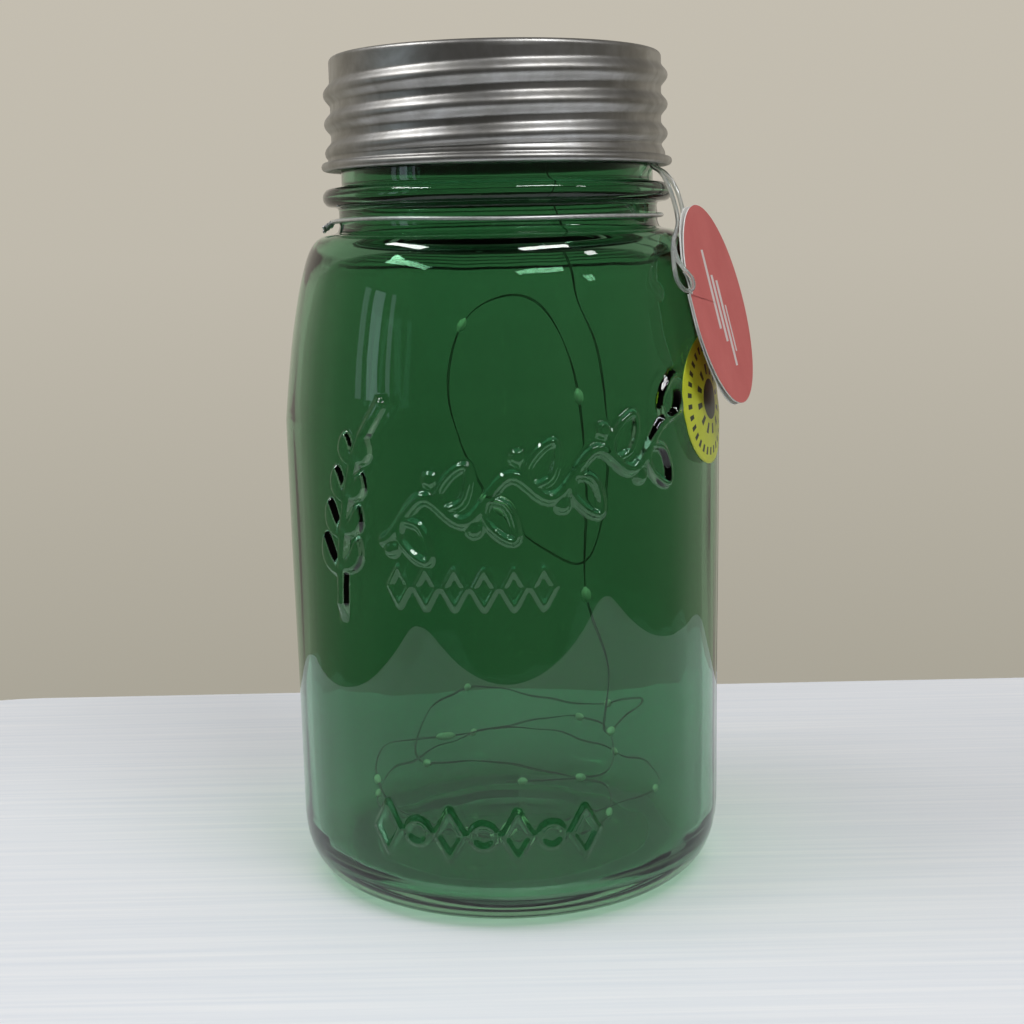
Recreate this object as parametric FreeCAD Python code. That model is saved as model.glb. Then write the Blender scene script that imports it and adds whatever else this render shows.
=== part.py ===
import FreeCAD, Part
import math
import os

# Light-up glass storage jar with a screw cap, a neck wire and a hang tag.
# Millimetres, +Z up, origin at the centre of the base. -Y is the front, where the relief is.

V = FreeCAD.Vector
AXIS_Z = V(0, 0, 1)
ORIGIN = V(0, 0, 0)

# ---- Driving dimensions -------------------------------------------------------------------
# Jar
BASE_RING_IN = 36.0          # inner edge of the flat ring that the jar stands on
BASE_RING_OUT = 46.0
PUSH_UP = 2.2                # how far the underside is domed up
BODY_R_LOW = 55.6
BODY_R_HIGH = 56.0
HEEL_TOP = 15.0
BODY_TOP = 120.0
WALL = 3.3
FLOOR_TOP = 7.4
INNER_HEEL_TOP = 15.0        # where the straight inner wall ends
INNER_FLOOR_R = 43.0
INNER_FLOOR_EDGE = 6.6       # height of the floor at its edge
NECK_R = 40.4                # plain neck under the bead
FINISH_R = 39.5              # threaded finish over the bead
BORE_R = 36.2
BEAD_Z = 175.4
BEAD_R = 44.35
BEAD_HALF = 2.4
RIM_Z = 205.8
RIM_ROUND = 1.1              # rounding of the rim's outer edge
BORE_ROUND = 1.0
# Screw thread, right-handed, shared by the jar and the cap
PITCH = 7.1
THREAD_ZERO_Z = 186.2        # height of the thread's centre line at THREAD_ZERO_DEG
THREAD_ZERO_DEG = 180.0
JAR_THREAD_DEG = (420.0, 990.0)
JAR_THREAD_R = 41.9
JAR_RIB_HALF = 1.2           # half the rib's width at its foot
CAP_THREAD_DEG = (92.0, 1110.0)
CAP_RIDGE_R = 43.2
CAP_RIDGE_HALF = 2.1
CAP_GROOVE_R = 42.8
CAP_GROOVE_HALF = 1.75
GROOVE_SHORTER_DEG = 1.2     # the groove stops this far inside each end of the ridge
# Cap
CAP_TOP = 209.5
SHEET = 0.4
SKIRT_R = 41.6
BAND_R = 42.6                # wider band under the thread
BAND_TOP = 185.4
HEM_Z = 183.0
HEM_R = 44.3
HEM_WIRE_R = 1.1
CORNER_R = 1.2
CUT_FROM = 180.0             # the cap's bodies of revolution start here, under the hem
# Light insert held in the cap
DISC_R = 40.9
DISC_Z = (207.2, 208.9)
PUCK_R = 32.0
PUCK_BOTTOM = 187.0
PUCK_WALL = 1.6
BAY_HALF_X = 25.0
BAY_HALF_Y = 17.0
BAY_CEILING = 200.4
BAY_WALL = 1.2
CELL_R = 5.25
CELL_LENGTH = 44.0
CELL_Z = 194.2
HINGE_X = -25.0
HINGE_Z = 186.4
HINGE_PIN_R = 0.6
KNUCKLE_R = 1.5
KNUCKLE_HALF = 7.0           # half the door's knuckle
KNUCKLE_GAP = 0.3
OUTER_KNUCKLE = 4.0          # length of each of the pack's two knuckles
THUMB_HALF = 5.0             # half the width of the door's thumb tab
SCREW_DEG = (52.0, 128.0, 232.0, 308.0)
SCREW_CIRCLE_R = 27.6
SCREW_R = 0.9
SCREW_HEAD_R = 1.9
TAB_R = 40.2                 # three pressed tabs in the cap hold the disc up
TAB_Z = (206.1, 207.1)
TAB_HALF = 3.0
TAB_DEG = (30.0, 150.0, 270.0)
BOSS_R = 2.6                 # screw boss in the pack
POST_R = 1.5                 # post that carries the board
POST_X = 10.0
SWITCH_XY = (-6.0, 23.2)
SWITCH_TRAVEL = 3.0
GROMMET_XY = (11.0, -23.6)
GROMMET_R = 2.0
# Neck wire
NECK_WIRE_R = 0.5
NECK_WIRE_RING_R = 41.7
NECK_WIRE_Z = 169.6
# Hang tag on its cord
CORD_R = 0.45
TUCK_R = 40.4                # radius at which the cord's top lies between the jar and the cap
TUCK_DEG = -12.5
TAG_R = 25.4
CARD = 0.35
TAG_CENTRE = V(55.2, -12.1, 147.3)
TAG_FACING_DEG = 68.5        # compass bearing of the tag's face, from the front towards +X
TAG_LEAN_DEG = 14.4          # how far the face looks upwards
TAG_OPEN_DEG = 3.0           # the two leaves stand this far apart at rest
SPINE_HALF = 3.5
NOTCH_R = 3.0
NOTCH_ACROSS = 0.6
NOTCH_UP = 6.3
# Sticker
STICKER_R = 16.0
STICKER_THICK = 0.12
STICKER_GAP = 0.015          # the glue line
STICKER_DEG = 68.0
STICKER_Z = 124.5
# Light string
STRING_R = 0.25
LAMP_LENGTH = 3.2
LAMP_R = 1.1
LAMP_COUNT = 20
LAMP_FIRST = 130.0           # string length from the pack to the first lamp
COIL_TURNS = 3.4
COIL_POINTS = 58
COIL_R = 37.0
COIL_TOP = 42.0
COIL_LOWEST = 10.5
COIL_START_DEG = -50.0


# ---- Helpers ------------------------------------------------------------------------------
def save(name, shape):
    """Writes one named piece."""
    os.makedirs("parts", exist_ok=True)
    shape.exportStep("parts/" + name + ".step")


def polar(radius, degrees, z):
    """A point at a radius and an angle measured from +X towards +Y."""
    a = math.radians(degrees)
    return V(radius * math.cos(a), radius * math.sin(a), z)


def line(a, b):
    return Part.makeLine(V(a[0], 0, a[1]), V(b[0], 0, b[1]))


def arc(a, m, b):
    return Part.Arc(V(a[0], 0, a[1]), V(m[0], 0, m[1]), V(b[0], 0, b[1])).toShape()


def dome(top_z, edge_r, edge_z):
    """The outline of a shallow dome centred on the axis, from its top to its edge."""
    rise = top_z - edge_z
    sphere_r = (edge_r ** 2 + rise ** 2) / (2 * rise)
    half_way = edge_r / 2.0
    drop = sphere_r - math.sqrt(sphere_r ** 2 - half_way ** 2)
    return arc((0, top_z), (half_way, top_z - drop), (edge_r, edge_z))


def smooth(points):
    curve = Part.BSplineCurve()
    curve.interpolate([V(r, 0, z) for r, z in points])
    return curve.toShape()


def turn(edges):
    """Revolves a closed outline in the XZ plane once round Z."""
    face = Part.Face(Part.Wire(edges))
    return face.revolve(ORIGIN, AXIS_Z, 360)


def ring(outer, inner, z0, z1):
    tube = Part.makeCylinder(outer, z1 - z0, V(0, 0, z0))
    return tube.cut(Part.makeCylinder(inner, z1 - z0, V(0, 0, z0)))


def block(x0, x1, y0, y1, z0, z1):
    return Part.makeBox(x1 - x0, y1 - y0, z1 - z0, V(x0, y0, z0))


def tube_along(points, radius):
    """A round rod that follows a smooth curve through the points."""
    curve = Part.BSplineCurve()
    curve.interpolate(points)
    path = Part.Wire([curve.toShape()])
    start = curve.value(curve.FirstParameter)
    along = curve.tangent(curve.FirstParameter)[0]
    circle = Part.Wire([Part.makeCircle(radius, start, along)])
    return path.makePipeShell([circle], True, True)


def thread_height(degrees):
    """Height of the thread's centre line at an angle counted in whole turns."""
    return THREAD_ZERO_Z + PITCH * (degrees - THREAD_ZERO_DEG) / 360.0


def thread_rib(span_deg, root_r, foot_r, crest_r, foot_half):
    """A helical rib: its section is an arc standing on a straight root."""
    from_deg, to_deg = span_deg
    turns = (to_deg - from_deg) / 360.0
    helix = Part.makeHelix(PITCH, PITCH * turns, foot_r)
    root_low = V(root_r, 0, -foot_half)
    foot_low = V(foot_r, 0, -foot_half)
    foot_high = V(foot_r, 0, foot_half)
    root_high = V(root_r, 0, foot_half)
    crest = Part.Arc(foot_low, V(crest_r, 0, 0), foot_high).toShape()
    section = Part.Wire([
        Part.makeLine(root_low, foot_low),
        crest,
        Part.makeLine(foot_high, root_high),
        Part.makeLine(root_high, root_low),
    ])
    rib = Part.Wire(helix).makePipeShell([section], True, True)
    rib.rotate(ORIGIN, AXIS_Z, from_deg)
    rib.translate(V(0, 0, thread_height(from_deg)))
    return rib


# ---- Jar ----------------------------------------------------------------------------------
SHOULDER = [
    (BODY_R_HIGH, BODY_TOP), (55.1, 128.8), (53.6, 140.2), (51.5, 151.5),
    (49.5, 159.0), (48.0, 162.7), (46.3, 165.0), (44.2, 166.1), (42.0, 166.5),
    (40.8, 167.0), (NECK_R, 168.2),
]
INNER_SHOULDER = [
    (BORE_R, 171.0), (36.8, 166.4), (39.0, 163.8), (42.5, 161.7), (44.7, 159.2),
    (46.4, 155.6), (48.1, 150.0), (50.3, 140.0), (51.8, 129.0), (BODY_R_HIGH - WALL, BODY_TOP),
]


def glass_jar():
    """The glass jar: body, shoulder, neck bead, threaded finish and hollow inside."""
    bead_low = BEAD_Z - BEAD_HALF
    bead_high = BEAD_Z + BEAD_HALF
    bead_mid = BEAD_R - BEAD_HALF
    finish_low = bead_high + 0.4
    wall_r = BODY_R_LOW - WALL
    outline = [
        dome(PUSH_UP, BASE_RING_IN, 0),
        line((BASE_RING_IN, 0), (BASE_RING_OUT, 0)),
        arc((BASE_RING_OUT, 0), (52.7, 4.3), (BODY_R_LOW, HEEL_TOP)),
        line((BODY_R_LOW, HEEL_TOP), (BODY_R_HIGH, BODY_TOP)),
        smooth(SHOULDER),
        line(SHOULDER[-1], (NECK_R, bead_low)),
        line((NECK_R, bead_low), (bead_mid, bead_low)),
        arc((bead_mid, bead_low), (BEAD_R, BEAD_Z), (bead_mid, bead_high)),
        line((bead_mid, bead_high), (FINISH_R + 0.4, bead_high)),
        arc((FINISH_R + 0.4, bead_high), (FINISH_R + 0.12, finish_low - 0.28), (FINISH_R, finish_low)),
        line((FINISH_R, finish_low), (FINISH_R, RIM_Z - RIM_ROUND)),
        arc((FINISH_R, RIM_Z - RIM_ROUND), (39.18, RIM_Z - 0.32), (FINISH_R - RIM_ROUND, RIM_Z)),
        line((FINISH_R - RIM_ROUND, RIM_Z), (BORE_R + BORE_ROUND, RIM_Z)),
        arc((BORE_R + BORE_ROUND, RIM_Z), (36.49, RIM_Z - 0.29), (BORE_R, RIM_Z - BORE_ROUND)),
        line((BORE_R, RIM_Z - BORE_ROUND), INNER_SHOULDER[0]),
        smooth(INNER_SHOULDER),
        line((BODY_R_HIGH - WALL, BODY_TOP), (wall_r, INNER_HEEL_TOP)),
        arc((wall_r, INNER_HEEL_TOP), (50.0, 9.1), (INNER_FLOOR_R, INNER_FLOOR_EDGE)),
        dome(FLOOR_TOP, INNER_FLOOR_R, INNER_FLOOR_EDGE),
        line((0, FLOOR_TOP), (0, PUSH_UP)),
    ]
    rib = thread_rib(JAR_THREAD_DEG, FINISH_R - 0.6, FINISH_R - 0.1, JAR_THREAD_R, JAR_RIB_HALF)
    return turn(outline).fuse(rib)


def side_sticker():
    """A thin round label that lies on the jar's side and follows its curve."""
    def outer_wall(shift):
        low = V(BODY_R_LOW + shift, 0, HEEL_TOP)
        high = V(BODY_R_HIGH + shift, 0, BODY_TOP)
        return Part.makeLine(low, high), smooth([(r + shift, z) for r, z in SHOULDER])

    outer = STICKER_GAP + STICKER_THICK
    under = outer_wall(STICKER_GAP)
    over = outer_wall(outer)
    head_z = SHOULDER[-1][1]
    foot = line((BODY_R_LOW + STICKER_GAP, HEEL_TOP), (BODY_R_LOW + outer, HEEL_TOP))
    head = line((NECK_R + STICKER_GAP, head_z), (NECK_R + outer, head_z))
    shell = turn([foot, over[0], over[1], head, under[1], under[0]])
    cutter = Part.makeCylinder(STICKER_R, 80.0, V(0, 0, STICKER_Z), V(1, 0, 0))
    cutter.rotate(V(0, 0, STICKER_Z), AXIS_Z, STICKER_DEG - 90.0)
    return shell.common(cutter)


# ---- Screw cap ----------------------------------------------------------------------------
def screw_cap():
    """The pressed metal cap: top, ridged skirt, wider band, rolled hem, three inner tabs."""
    inner_r = SKIRT_R - SHEET
    band_in = BAND_R - SHEET
    under = CAP_TOP - SHEET
    outside = turn([
        line((0, CUT_FROM), (BAND_R, CUT_FROM)),
        line((BAND_R, CUT_FROM), (BAND_R, BAND_TOP)),
        line((BAND_R, BAND_TOP), (SKIRT_R, BAND_TOP + 1.0)),
        line((SKIRT_R, BAND_TOP + 1.0), (SKIRT_R, CAP_TOP - CORNER_R)),
        arc((SKIRT_R, CAP_TOP - CORNER_R), (SKIRT_R - 0.35, CAP_TOP - 0.35), (SKIRT_R - CORNER_R, CAP_TOP)),
        line((SKIRT_R - CORNER_R, CAP_TOP), (0, CAP_TOP)),
        line((0, CAP_TOP), (0, CUT_FROM)),
    ])
    ridge = thread_rib(CAP_THREAD_DEG, SKIRT_R - 0.2, SKIRT_R - 0.1, CAP_RIDGE_R, CAP_RIDGE_HALF)
    below_hem = Part.makeCylinder(HEM_R + 5.0, HEM_Z - CUT_FROM + 5.0, V(0, 0, CUT_FROM - 5.0))
    outside = outside.fuse(ridge).cut(below_hem)
    inside = turn([
        line((0, CUT_FROM), (band_in, CUT_FROM)),
        line((band_in, CUT_FROM), (band_in, BAND_TOP - 0.1)),
        line((band_in, BAND_TOP - 0.1), (inner_r, BAND_TOP + 0.9)),
        line((inner_r, BAND_TOP + 0.9), (inner_r, under - 0.9)),
        arc((inner_r, under - 0.9), (inner_r - 0.26, under - 0.26), (inner_r - 0.9, under)),
        line((inner_r - 0.9, under), (0, under)),
        line((0, under), (0, CUT_FROM)),
    ])
    groove_deg = (CAP_THREAD_DEG[0] + GROOVE_SHORTER_DEG, CAP_THREAD_DEG[1] - GROOVE_SHORTER_DEG)
    groove = thread_rib(groove_deg, inner_r - 0.3, inner_r - 0.05, CAP_GROOVE_R, CAP_GROOVE_HALF)
    inside = inside.fuse(groove)
    shell = outside.cut(inside)
    hem = Part.makeTorus(HEM_R - HEM_WIRE_R, HEM_WIRE_R, V(0, 0, HEM_Z))
    cap = shell.fuse(hem)
    for degrees in TAB_DEG:
        tab = block(TAB_R, inner_r + 0.2, -TAB_HALF, TAB_HALF, TAB_Z[0], TAB_Z[1])
        tab.rotate(ORIGIN, AXIS_Z, degrees)
        cap = cap.fuse(tab)
    return cap


# ---- Light insert -------------------------------------------------------------------------
def liner_disc():
    """The plastic disc under the cap's top. It closes the mouth and carries the light pack."""
    disc = Part.makeCylinder(DISC_R, DISC_Z[1] - DISC_Z[0], V(0, 0, DISC_Z[0]))
    upper = [e for e in disc.Edges if e.Closed and abs(e.CenterOfMass.z - DISC_Z[1]) < 0.01]
    disc = disc.makeChamfer(0.7, upper)
    for x, y in screw_places():
        disc = disc.cut(Part.makeCylinder(SCREW_R + 0.2, 4.0, V(x, y, DISC_Z[0] - 1)))
        disc = disc.cut(Part.makeCylinder(SCREW_HEAD_R + 0.15, 1.0, V(x, y, DISC_Z[1] - 0.9)))
    return disc


def rim_gasket():
    """The flat rubber ring between the disc and the jar's rim."""
    return ring(39.8, BORE_R + 0.3, RIM_Z + 0.02, DISC_Z[0])


def screw_places():
    """The screws' places in the plane of the disc."""
    return [(p.x, p.y) for p in (polar(SCREW_CIRCLE_R, a, 0) for a in SCREW_DEG)]


def battery_housing():
    """The round pack: a cup with a battery bay, bosses, a hinge and openings in its floor."""
    top = DISC_Z[0]
    cup = Part.makeCylinder(PUCK_R, top - PUCK_BOTTOM, V(0, 0, PUCK_BOTTOM))
    edges = [e for e in cup.Edges if abs(e.CenterOfMass.z - PUCK_BOTTOM) < 0.01 and e.Length > 10]
    cup = cup.makeFillet(1.2, edges)
    floor = PUCK_BOTTOM + PUCK_WALL
    cup = cup.cut(Part.makeCylinder(PUCK_R - PUCK_WALL, top - floor, V(0, 0, floor)))
    out_x = BAY_HALF_X + BAY_WALL - 0.2
    out_y = BAY_HALF_Y + BAY_WALL
    walls = block(-out_x, out_x, -out_y, out_y, floor - 0.2, BAY_CEILING + BAY_WALL)
    walls = walls.common(Part.makeCylinder(PUCK_R - 0.5, top - PUCK_BOTTOM, V(0, 0, PUCK_BOTTOM)))
    cup = cup.fuse(walls)
    cup = cup.cut(block(-BAY_HALF_X, BAY_HALF_X, -BAY_HALF_Y, BAY_HALF_Y, PUCK_BOTTOM - 1, BAY_CEILING))
    for x, y in screw_places():
        boss = Part.makeCylinder(BOSS_R, top - floor + 0.2, V(x, y, floor - 0.2))
        cup = cup.fuse(boss)
        cup = cup.cut(Part.makeCylinder(SCREW_R + 0.02, 9.0, V(x, y, top - 8.5)))
    for side in (-1, 1):
        y = side * (KNUCKLE_HALF + KNUCKLE_GAP)
        y0 = min(y, y + side * OUTER_KNUCKLE)
        cup = cup.fuse(Part.makeCylinder(KNUCKLE_R, OUTER_KNUCKLE, V(HINGE_X, y0, HINGE_Z), V(0, 1, 0)))
    notch = KNUCKLE_HALF + KNUCKLE_GAP
    cup = cup.cut(block(HINGE_X - 2.0, HINGE_X + 3, -notch, notch, PUCK_BOTTOM - 2.5, floor + 0.01))
    cup = cup.cut(Part.makeCylinder(HINGE_PIN_R, 30.0, V(HINGE_X, -15.0, HINGE_Z), V(0, 1, 0)))
    sx, sy = SWITCH_XY
    slot_end = SWITCH_TRAVEL + 1.3
    cup = cup.cut(block(sx - 1.3, sx + slot_end, sy - 1.1, sy + 1.1, PUCK_BOTTOM - 1, floor + 0.1))
    gx, gy = GROMMET_XY
    cup = cup.cut(Part.makeCylinder(GROMMET_R, 4.0, V(gx, gy, PUCK_BOTTOM - 1)))
    for sign in (-1, 1):
        post = Part.makeCylinder(POST_R, 1.4, V(POST_X * sign, 0, BAY_CEILING + 1.1))
        cup = cup.fuse(post)
    return cup


def housing_screws():
    """Four small countersunk screws that fix the pack under the disc."""
    screws = []
    for x, y in screw_places():
        shank = Part.makeCylinder(SCREW_R, 9.0, V(x, y, DISC_Z[0] - 7.5))
        head = Part.makeCylinder(SCREW_HEAD_R, 0.8, V(x, y, DISC_Z[1] - 0.85))
        cross = block(x - 1.2, x + 1.2, y - 0.2, y + 0.2, DISC_Z[1] - 0.45, DISC_Z[1])
        cross = cross.fuse(block(x - 0.2, x + 0.2, y - 1.2, y + 1.2, DISC_Z[1] - 0.45, DISC_Z[1]))
        screws.append(shank.fuse(head).cut(cross))
    return Part.makeCompound(screws)


def cell_rows():
    """Each cell's Y and which way its positive end points."""
    return [(-11.0, 1), (0.0, -1), (11.0, 1)]


def battery_cells():
    """Three cylindrical cells side by side, with their raised positive ends."""
    cells = []
    for y, way in cell_rows():
        half = CELL_LENGTH / 2.0
        can = Part.makeCylinder(CELL_R, CELL_LENGTH - 1.0, V(-half * way, y, CELL_Z), V(way, 0, 0))
        ends = [e for e in can.Edges if e.Length > 10 and e.Closed]
        can = can.makeFillet(0.5, ends)
        tip = Part.makeCylinder(1.9, 1.6, V(way * (half - 1.6), y, CELL_Z), V(way, 0, 0))
        cells.append(can.fuse(tip))
    return Part.makeCompound(cells)


def contact_springs():
    """The bowed leaf springs that press on the cells' flat ends."""
    half = 4.0
    bow = 1.7
    sheet = 0.25
    springs = []
    for y, way in cell_rows():
        strip = Part.Face(Part.Wire([
            arc((0, -half), (bow, 0), (0, half)),
            line((0, half), (sheet, half)),
            arc((sheet, half), (bow + sheet, 0), (sheet, -half)),
            line((sheet, -half), (0, -half)),
        ])).extrude(V(0, 4.0, 0))
        strip.translate(V(0, -2.0, 0))
        if way < 0:
            strip.rotate(ORIGIN, AXIS_Z, 180)
        strip.translate(V(-way * (BAY_HALF_X - 0.36), y, CELL_Z))
        springs.append(strip)
    return Part.makeCompound(springs)


def contact_plates():
    """The thin metal plates at the ends of the bay."""
    half = 4.4
    plates = []
    for y, way in cell_rows():
        for end in (-1, 1):
            inner = end * (BAY_HALF_X - 0.05)
            outer = inner - end * 0.3
            low, high = min(inner, outer), max(inner, outer)
            plates.append(block(low, high, y - half, y + half, CELL_Z - half, CELL_Z + half))
    return Part.makeCompound(plates)


def battery_door():
    """The hinged cover under the cells, with its knuckle and thumb tab."""
    clear = 0.25
    low = PUCK_BOTTOM
    high = PUCK_BOTTOM + 1.3
    half_x = BAY_HALF_X - clear
    half_y = BAY_HALF_Y - clear
    door = block(-half_x, half_x, -half_y, half_y, low, high)
    notch = KNUCKLE_HALF + KNUCKLE_GAP
    for side in (-1, 1):
        y0 = side * (notch - 0.2)
        y1 = side * (notch + OUTER_KNUCKLE + 0.3)
        door = door.cut(block(HINGE_X - 1, HINGE_X + 1.9, min(y0, y1), max(y0, y1), low - 1, high + 1))
    hinge_start = V(HINGE_X, -KNUCKLE_HALF, HINGE_Z)
    door = door.fuse(Part.makeCylinder(KNUCKLE_R, 2 * KNUCKLE_HALF, hinge_start, V(0, 1, 0)))
    door = door.fuse(block(HINGE_X, HINGE_X + 2, -KNUCKLE_HALF, KNUCKLE_HALF, low - 0.3, low + 0.6))
    door = door.cut(Part.makeCylinder(HINGE_PIN_R + 0.05, 30.0, V(HINGE_X, -15.0, HINGE_Z), V(0, 1, 0)))
    thumb_x = BAY_HALF_X - 3.0
    door = door.fuse(block(thumb_x, thumb_x + 5.5, -THUMB_HALF, THUMB_HALF, low - 1.1, low - 0.1))
    return door.fuse(block(thumb_x, thumb_x + 1.5, -THUMB_HALF, THUMB_HALF, low - 1.1, low + 0.5))


def door_hinge_pin():
    """The steel pin through the three knuckles."""
    length = 2 * (KNUCKLE_HALF + KNUCKLE_GAP + OUTER_KNUCKLE)
    return Part.makeCylinder(HINGE_PIN_R, length, V(HINGE_X, -length / 2.0, HINGE_Z), V(0, 1, 0))


def circuit_board():
    """The small board above the battery bay."""
    z = BAY_CEILING + 2.5
    board = block(-15.0, 15.0, -9.0, 9.0, z, z + 1.0)
    for sign in (-1, 1):
        board = board.cut(Part.makeCylinder(0.8, 3.0, V(POST_X * sign, 0, z - 1)))
    return board


def board_components():
    """The timer chip, a resistor and a capacitor on the board."""
    z = BAY_CEILING + 3.5
    chip = block(-3.0, 3.0, -2.0, 2.0, z, z + 1.4)
    resistor = block(5.5, 8.5, 4.0, 5.6, z, z + 0.6)
    capacitor = Part.makeCylinder(2.0, 2.4, V(-8.5, 5.0, z))
    return Part.makeCompound([chip, resistor, capacitor])


def switch_body():
    """The slide switch inside the pack, over its slot in the floor."""
    sx, sy = SWITCH_XY
    z = PUCK_BOTTOM + PUCK_WALL
    case = block(sx - 3.6, sx + SWITCH_TRAVEL + 3.6, sy - 2.2, sy + 2.2, z, z + 4.2)
    return case.cut(block(sx - 1.4, sx + SWITCH_TRAVEL + 1.4, sy - 1.2, sy + 1.2, z - 1, z + 2.4))


def switch_knob():
    """The slider that stands out of the pack's floor."""
    sx, sy = SWITCH_XY
    stem = block(sx - 1.1, sx + 1.1, sy - 0.9, sy + 0.9, PUCK_BOTTOM - 1.0, PUCK_BOTTOM + PUCK_WALL + 1.8)
    grip = block(sx - 1.1, sx + 1.1, sy - 1.8, sy + 1.8, PUCK_BOTTOM - 2.2, PUCK_BOTTOM - 0.4)
    for groove_x in (sx - 0.55, sx + 0.15):
        groove = block(groove_x, groove_x + 0.4, sy - 2.0, sy + 2.0, PUCK_BOTTOM - 2.3, PUCK_BOTTOM - 1.8)
        grip = grip.cut(groove)
    return stem.fuse(grip)


def cord_grommet():
    """The rubber grommet where the light string leaves the pack."""
    gx, gy = GROMMET_XY
    z0 = PUCK_BOTTOM - 0.9
    sleeve = Part.makeCylinder(GROMMET_R, PUCK_WALL + 1.4, V(gx, gy, z0 + 0.2))
    lip = Part.makeCylinder(GROMMET_R + 0.9, 0.8, V(gx, gy, z0))
    bore = Part.makeCylinder(STRING_R + 0.55, 6.0, V(gx, gy, z0 - 1))
    return sleeve.fuse(lip).cut(bore)


# ---- Light string -------------------------------------------------------------------------
def hanging_points():
    """The string's free fall from the grommet, its one wide loop, and its way down to the coil."""
    gx, gy = GROMMET_XY
    return [
        V(gx, gy, 189.8), V(gx, gy, 184.5),
        V(13.5, -26.5, 172.0), V(17.0, -29.5, 158.0), V(18.5, -30.0, 150.0), V(23.0, -35.5, 136.0),
        V(24.5, -39.5, 112.0), V(20.0, -42.5, 90.0), V(10.0, -44.5, 92.0), V(-3.0, -45.0, 105.0),
        V(-12.0, -43.0, 126.0), V(-10.0, -37.5, 143.0), V(-1.0, -33.5, 151.0), V(9.0, -33.0, 149.5),
        V(17.0, -38.5, 134.0),
        V(19.5, -42.0, 108.0), V(19.0, -43.0, 82.0), V(24.0, -40.5, 62.0),
    ]


def coil_points():
    """The loose coil that winds down to the jar's floor, with an uneven radius and height."""
    points = []
    for index in range(COIL_POINTS):
        share = index / (COIL_POINTS - 1.0)
        turned = 360.0 * COIL_TURNS * share
        radius = COIL_R - 9.0 * math.sin(2.3 * math.pi * share) - 7.0 * share
        wave = 4.0 * math.sin(math.radians(2.6 * turned)) * (1 - 0.6 * share)
        z = COIL_TOP - 30.0 * share ** 0.7 + wave
        points.append(polar(radius, COIL_START_DEG + turned, max(z, COIL_LOWEST)))
    return points


def string_path():
    curve = Part.BSplineCurve()
    curve.interpolate(hanging_points() + coil_points())
    return curve


def led_string_wire():
    """The thin insulated wire that carries the lamps."""
    return tube_along(hanging_points() + coil_points(), STRING_R)


def led_beads():
    """The lamps: small clear drops moulded round the wire at even spacing."""
    curve = string_path()
    lit_length = curve.length() - LAMP_FIRST - 6.0
    beads = []
    for index in range(LAMP_COUNT):
        along = LAMP_FIRST + lit_length * index / (LAMP_COUNT - 1.0)
        at = curve.parameterAtDistance(along)
        centre = curve.value(at)
        direction = curve.tangent(at)[0]
        start = centre - direction * (LAMP_LENGTH / 2.0)
        rod = Part.makeCylinder(LAMP_R, LAMP_LENGTH, start, direction)
        ends = [e for e in rod.Edges if e.Closed and e.Length > 5]
        rod = rod.makeFillet(LAMP_R * 0.8, ends)
        bore = Part.makeCylinder(STRING_R + 0.12, LAMP_LENGTH + 2, start - direction, direction)
        beads.append(rod.cut(bore))
    return Part.makeCompound(beads)


# ---- Neck wire ----------------------------------------------------------------------------
def neck_wire():
    """A galvanised wire laid loosely round the neck, with its joined ends bent out at the left."""
    band = Part.makeTorus(NECK_WIRE_RING_R, NECK_WIRE_R, V(0, 0, NECK_WIRE_Z))
    root = polar(NECK_WIRE_RING_R, 183.0, NECK_WIRE_Z)
    tip = polar(NECK_WIRE_RING_R + 2.6, 188.0, NECK_WIRE_Z - 1.4)
    tail = Part.makeCylinder(NECK_WIRE_R * 1.6, (tip - root).Length, root, tip - root)
    return band.fuse(tail)


# ---- Hang tag -----------------------------------------------------------------------------
def tag_frame():
    """The tag's directions: across (away from its fold), up (along its face) and its facing."""
    a = math.radians(TAG_FACING_DEG)
    lean = math.radians(TAG_LEAN_DEG)
    facing = V(math.cos(lean) * math.sin(a), -math.cos(lean) * math.cos(a), math.sin(lean))
    across = V(math.cos(a), math.sin(a), 0)
    up = facing.cross(across)
    return across, up, facing


def tag_point(across_mm, up_mm, facing_mm):
    """A point in the tag's own directions, measured from the middle of its fold."""
    across, up, facing = tag_frame()
    fold = TAG_CENTRE - across * TAG_R
    return fold + across * across_mm + up * up_mm + facing * facing_mm


def tag_leaf(facing_mm):
    """One round leaf, trimmed straight along the fold, with a round notch beside the fold for the cord."""
    across, up, facing = tag_frame()
    back = tag_point(TAG_R, 0, facing_mm - CARD)
    leaf = Part.makeCylinder(TAG_R, CARD, back, facing)
    fold_in = TAG_R - math.sqrt(TAG_R ** 2 - SPINE_HALF ** 2)
    trim = Part.makeBox(10.0, 60.0, 4.0)
    placement = FreeCAD.Placement(
        tag_point(fold_in + 0.1 - 10.0, -30.0, facing_mm - 2.0),
        FreeCAD.Rotation(across, up, facing, "XYZ"),
    )
    trim.Placement = placement
    leaf = leaf.cut(trim)
    notch = Part.makeCylinder(NOTCH_R, 4.0, tag_point(NOTCH_ACROSS, NOTCH_UP, facing_mm - 2.0), facing)
    return leaf.cut(notch)


def tag_front_leaf():
    """The outer leaf, whose face is printed."""
    return tag_leaf(0.0)


def tag_back_leaf():
    """The inner leaf, towards the jar, opened a little about the fold."""
    across, up, facing = tag_frame()
    leaf = tag_leaf(-CARD - 0.1)
    leaf.rotate(tag_point(0.2, 0, -CARD - 0.05), up, TAG_OPEN_DEG)
    return leaf


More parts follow.
